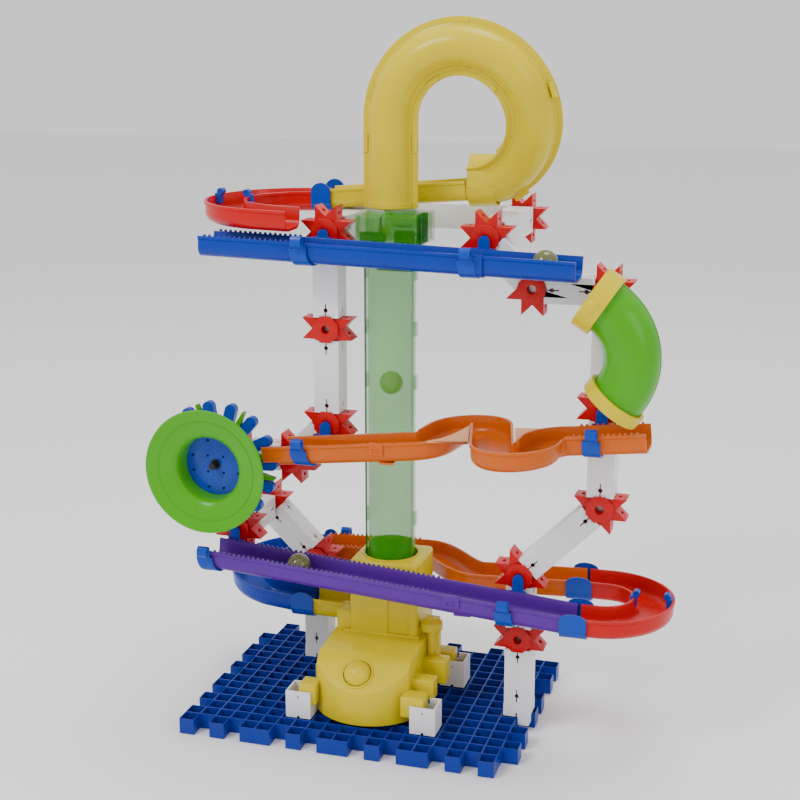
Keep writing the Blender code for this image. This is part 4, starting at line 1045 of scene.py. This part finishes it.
# ---------------------------------------------------------------- wheel
def wheel_at():
    return place(WHEEL[0], 0.0, WHEEL[1])


def lathe(profile, steps=96):
    """Surface turned about the wheel's axis from (radius, y) points."""
    centre = wheel_at()
    bm = bmesh.new()
    rows = []
    for step in range(steps):
        angle = 2 * math.pi * step / steps
        across, up = math.cos(angle), math.sin(angle)
        rows.append([bm.verts.new(centre + Vector((r * MM * across, y * MM, r * MM * up)))
                     for r, y in profile])
    for step in range(steps):
        first, second = rows[step], rows[(step + 1) % steps]
        for k in range(len(profile)):
            after = (k + 1) % len(profile)
            bm.faces.new((first[k], first[after], second[after], second[k]))
    return mesh_from(bm)


def wheel():
    rim = [(48.0, 20.0), (47.7, 19.0), (46.8, 18.6), (38.0, 21.4), (30.0, 24.2), (26.6, 25.6), (25.0, 27.4),
           (24.3, 30.0), (24.0, 41.6), (25.6, 41.9), (25.9, 30.6), (26.8, 28.6), (29.4, 27.2), (40.0, 24.0),
           (47.4, 21.4)]
    add("visual_wheel_dish", lathe(rim), GREEN, ("wheel_dish",), body="wheel", smooth=40)
    ridge = lathe([(38.2, 20.9), (38.9, 20.7), (39.2, 21.5), (38.4, 21.7)])
    add("wheel_dish_ridge", ridge, GREEN, body="wheel")

    lobes, root, tip, half = LOBES, 31.0, 48.6, 4.4
    outline = []
    for lobe in range(lobes):
        turn = 2 * math.pi * lobe / lobes + math.radians(LOBE_PHASE)
        for u, v in [(root, -half)] + arc((tip - half, 0.0), half, -90, 90, 12) + [(root, half)]:
            outline.append((u * math.cos(turn) - v * math.sin(turn), u * math.sin(turn) + v * math.cos(turn)))
    stand = Matrix.Rotation(math.pi / 2, 4, "X")
    disc = prism(outline, 6.0, Matrix.Translation(wheel_at() + Vector((0, 47.5 * MM, 0))) @ stand)
    face = cylinder((WHEEL[0], 43.6, WHEEL[1]), (0, 1, 0), 23.6, 4.0, 64)
    steps = [fuse(face), cut(cylinder((WHEEL[0], 47.0, WHEEL[1]), (0, 1, 0), 4.2, 30.0, 32))]
    holes = [(9.0, 45 + 90 * k, 1.0) for k in range(4)]
    holes += [(19.5, 90 * k + side * 18, 1.2) for k in range(4) for side in (-1, 1)]
    for radius, angle, size in holes:
        a = math.radians(angle)
        at = (WHEEL[0] + radius * math.cos(a), 47.0, WHEEL[1] + radius * math.sin(a))
        steps.append(cut(cylinder(at, (0, 1, 0), size, 30.0, 16)))
    add("visual_paddle_wheel", combine(disc, *steps), CLIP_BLUE, ("paddle_wheel",), body="wheel", bevel=0.9,
        segments=3)
    hub = lathe([(2.95, 40.6), (4.0, 40.6), (4.15, 41.0), (4.15, 50.0), (2.95, 50.0)], 40)
    add("wheel_hub_ring", hub, DARK, body="wheel")
    fins = []
    for fin in range(lobes):
        turn = 360.0 * (fin + 0.42) / lobes + LOBE_PHASE
        outline = [(31.0, -2.6), (47.8, -0.5), (47.8, 1.4), (31.0, 2.6)]
        matrix = Matrix.Translation(wheel_at() + Vector((0, 46.0 * MM, 0))) @ stand @ Matrix.Rotation(
            math.radians(turn), 4, "Z")
        if fin % 2 == 0:
            fins.append(prism(outline, 5.0, matrix))
    add("wheel_fins", joined(fins), GREEN, body="wheel", bevel=0.3)


# ---------------------------------------------------------------- blower base
HOUSING_BACK = 134.0
COLUMN_X, COLUMN_Y, COLUMN_TOP = (111.5, 167.0), (84.0, 134.0), 125.0
CHUTE_Y = 120.5
BUTTON = (134.0, 36.0)
BUTTON_RADIUS = 10.5


def panel_height(y):
    return 22.6 + PANEL_RISE * y


def console_shape():
    low_x, high_x = HOUSING_X
    middle_x, half, sagitta, front_y = (low_x + high_x) / 2, (high_x - low_x) / 2, 19.0, 23.0
    radius = (half * half + sagitta * sagitta) / (2 * sagitta)
    spread = math.degrees(math.asin(half / radius))
    curve = arc((middle_x, front_y + radius), radius, 270 - spread, 270 + spread, 48)
    outline = [(high_x, HOUSING_BACK), (low_x, HOUSING_BACK)] + curve
    plan = prism([(x - ORIGIN[0], y - ORIGIN[1]) for x, y in outline], 90.0,
                 Matrix.Translation((0, 0, 60 * MM)))
    side = [(0.0, 14), (0.0, 22.6), (44.0, 57.8)] + [(48.0, 60.6), (53.0, 62.0)]
    side += [(84.0, 64.5), (140.0, 64.5), (140.0, 14)]
    turn = Matrix.Rotation(math.pi / 2, 4, "Z") @ Matrix.Rotation(math.pi / 2, 4, "X")
    profile = prism([(y - ORIGIN[1], z) for y, z in side], 100.0,
                    Matrix.Translation(((middle_x - ORIGIN[0]) * MM, 0, 0)) @ turn)
    return combine(plan, ("INTERSECT", profile))


def housing():
    normal = Vector((0, -PANEL_RISE, 1)).normalized()
    hole = (BUTTON[0], BUTTON[1], panel_height(BUTTON[1]))
    console = rounded(console_shape(), 2.6, 4, 28)
    seat = cylinder(hole, normal, BUTTON_RADIUS + 2.2, 2.4, 64)
    steps = [cut(cylinder(hole, normal, BUTTON_RADIUS + 0.5, 16.0, 64))]
    add("housing_console", combine(console, *steps), YELLOW, ("blower_housing",), smooth=32)
    ring = combine(seat, cut(cylinder(hole, normal, BUTTON_RADIUS + 0.5, 16.0, 64)))
    add("button_seat", ring, YELLOW, bevel=0.5)

    x, y = TOWER
    column = rounded(box((COLUMN_X[0], COLUMN_Y[0], 55.0), (COLUMN_X[1], COLUMN_Y[1], COLUMN_TOP)), 3.2, 3)
    steps = [
        cut(box((143.0, COLUMN_Y[0] - 1, 50.0), (160.8, COLUMN_Y[0] + 1.2, 112.0))),
        cut(cylinder((x, y, 118.0), (0, 0, 1), LIFT_RADIUS + GAP, 40.0, 64)),
        cut(box((COLUMN_X[0] - 1, CHUTE_Y - 13.6, 64.5), (COLUMN_X[0] + 14, COLUMN_Y[1] - 3.5, 96.0))),
    ]
    add("housing_column", combine(column, *steps), YELLOW, smooth=32)
    lip = combine(cylinder((x, y, 124.5), (0, 0, 1), LIFT_RADIUS + 2.2, 3.0, 72),
                  cut(cylinder((x, y, 124.5), (0, 0, 1), LIFT_RADIUS + 0.4, 30, 72)))
    add("housing_tube_lip", lip, YELLOW, bevel=0.4)
    post = rounded(box((100.0, 86.0, 55.0), (112.5, 106.0, 81.0)), 1.2, 2)
    add("housing_side_post", post, YELLOW, smooth=32)
    line = box((HOUSING_X[0] + 8, 83.2, 62.6), (HOUSING_X[1] - 4, 84.6, 66.4))
    add("housing_step", rounded(line, 0.6, 2), YELLOW, smooth=32)

    chute = ((68.0, CHUTE_Y, 78.8), (90.0, CHUTE_Y, 78.3), (113.0, CHUTE_Y, 77.8))
    add("housing_chute", sweep(chute, trough()), YELLOW, smooth=40)
    arms()
    knob()


FREE_ARMS = (((170.0, 49.0, 30.5), (190.5, 62.0, 46.5)), ((170.0, 80.0, 30.5), (192.0, 94.0, 49.5)),
             ((94.0, 52.0, 34.0), (102.0, 66.0, 48.0)))
KNOB = (176.5, 94.0)


def arms():
    """Blocks that reach from the console into the sockets, each with a pin hole on top."""
    shapes = []
    for _, x, y in SOCKETS:
        shapes.append((arm_box(x, y), x + (3.5 if x < 130 else -3.5), y))
    for low, high in FREE_ARMS:
        outer = high[0] - 6.0 if high[0] > HOUSING_X[1] else low[0] + 3.0
        shapes.append((box(low, high), outer, (low[1] + high[1]) / 2))
    for number, (mesh, x, y) in enumerate(shapes):
        hole = cylinder((x, y, 48.0), (0, 0, 1), 0.9, 12.0, 16)
        add("housing_arm_%d" % number, combine(rounded(mesh, 0.9, 3), cut(hole)), YELLOW, smooth=32)


def knob():
    x, y = KNOB
    add("knob_disc", rounded(cylinder((x, y, 73.0), (0, 0, 1), 8.8, 7.0, 56), 0.9, 3), YELLOW, smooth=32)
    stem = combine(cylinder((x, y, 58.0), (0, 0, 1), 3.6, 22.0, 32),
                   fuse(box((x + 2.0, y - 2.0, 47.0), (x + 7.0, y + 3.0, 68.5))))
    add("knob_stem", stem, YELLOW, bevel=0.4)


def button():
    normal = Vector((0, -PANEL_RISE, 1)).normalized()
    bm = bmesh.new()
    bmesh.ops.create_uvsphere(bm, u_segments=64, v_segments=32, radius=BUTTON_RADIUS * MM)
    split = bmesh.ops.bisect_plane(bm, geom=bm.verts[:] + bm.edges[:] + bm.faces[:],
                                   plane_co=(0, 0, -3 * MM), plane_no=(0, 0, -1), clear_outer=True)
    rim = [edge for edge in split["geom_cut"] if isinstance(edge, bmesh.types.BMEdge)]
    bmesh.ops.holes_fill(bm, edges=rim)
    bmesh.ops.scale(bm, vec=(1, 1, 0.8), verts=bm.verts)
    at = place(BUTTON[0], BUTTON[1], panel_height(BUTTON[1]))
    bmesh.ops.transform(bm, matrix=Matrix.Translation(at) @ turn_to(normal), verts=bm.verts)
    add("visual_power_button", mesh_from(bm), YELLOW, ("power_button",), body="button", smooth=50)


# ---------------------------------------------------------------- marbles and hidden parts
def marbles():
    def on_track(line, x):
        return (x, FRONT_Y, rim_at(line, x) - TRACK_DEPTH + TRACK_WALL + MARBLE_RADIUS + GAP)
    stations = (("marble_lift", "lift_marble", (TOWER[0], TOWER[1], 264.0)),
                ("marble_upper", "upper_marble", on_track(BLUE_TRACK, 268.0)),
                ("marble_lower", "lower_marble", on_track(PURPLE_TRACK, 80.0)))
    for node, body, station in stations:
        bm = bmesh.new()
        bmesh.ops.create_uvsphere(bm, u_segments=64, v_segments=32, radius=MARBLE_RADIUS * MM,
                                  matrix=Matrix.Translation(place(*station)))
        material = MARBLE_PALE if body == "lift_marble" else MARBLE
        add("visual_" + node, mesh_from(bm), material, (node,), body=body, smooth=60)


def hidden_parts():
    for node, material in (("motor", STEEL), ("impeller", WHITE), ("battery_box", DARK)):
        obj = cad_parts[node]
        obj.data.materials.clear()
        obj.data.materials.append(material)


# ---------------------------------------------------------------- studio
def area_light(name, location, target, size, power):
    light = bpy.data.lights.new(name, "AREA")
    light.shape = "DISK"
    light.size = size
    light.energy = power
    obj = bpy.data.objects.new(name, light)
    obj.location = location
    direction = Vector(target) - Vector(location)
    obj.rotation_euler = direction.to_track_quat("-Z", "Y").to_euler()
    bpy.context.scene.collection.objects.link(obj)


# name, place (m), aimed at (m), size (m), power (W)
LIGHTS = (("key", (-0.9, -1.3, 1.7), (0, 0, 0.25), 0.7, 22),
          ("top", (0.2, 0.3, 2.0), (0, 0, 0.2), 1.0, 16),
          ("fill", (1.5, -0.9, 0.9), (0, 0, 0.3), 0.8, 5))
CAMERA_PLACE = (463.60, -946.32, 527.81)            # fitted to the plate's grid corners in the photograph
CAMERA_TILT, CAMERA_TURN = 0.24648, 0.29240         # radians: down, and to the left
CAMERA_LENS, CAMERA_SENSOR = 65.98, 36.0


def studio():
    bm = bmesh.new()
    bmesh.ops.create_grid(bm, x_segments=1, y_segments=1, size=6.0)
    floor_mesh = mesh_from(bm)
    floor = link("floor", floor_mesh)
    floor.location = (0, 0, -0.0004)
    material = bpy.data.materials.new("floor")
    material.use_nodes = True
    shader = material.node_tree.nodes["Principled BSDF"]
    shader.inputs["Base Color"].default_value = (0.9, 0.9, 0.9, 1)
    shader.inputs["Roughness"].default_value = 0.6
    floor_mesh.materials.append(material)

    world = bpy.data.worlds.new("studio")
    bpy.context.scene.world = world
    world.use_nodes = True
    world.node_tree.nodes["Background"].inputs["Color"].default_value = (1.0, 1.0, 1.0, 1)
    world.node_tree.nodes["Background"].inputs["Strength"].default_value = 1.0
    for light in LIGHTS:
        area_light(*light)

    camera = bpy.data.cameras.new("camera")
    camera.lens = CAMERA_LENS
    camera.sensor_width = CAMERA_SENSOR
    camera.clip_start = 0.05
    obj = bpy.data.objects.new("camera", camera)
    obj.location = place(*CAMERA_PLACE)
    obj.rotation_euler = (math.pi / 2 - CAMERA_TILT, 0.0, CAMERA_TURN)
    bpy.context.scene.collection.objects.link(obj)
    bpy.context.scene.camera = obj


# ---------------------------------------------------------------- build
studio()
base_plate("base_plate_left", True)
base_plate("base_plate_right", False)
star = connectors()
frame_tubes()
foot("post_left", MIDDLE_STARS["rear_low"][0], PLANE_MIDDLE, MIDDLE_STARS["rear_low"][1])
foot("post_right", FRONT_STARS["right_low"][0], PLANE_FRONT, FRONT_STARS["right_low"][1])
sockets()
rear_frame(star)
wheel_mount(star)
straight_tracks()
middle_track()
rear_track()
turns()
lift()
loop()
side_tube()
wheel()
housing()
button()
marbles()
hidden_parts()
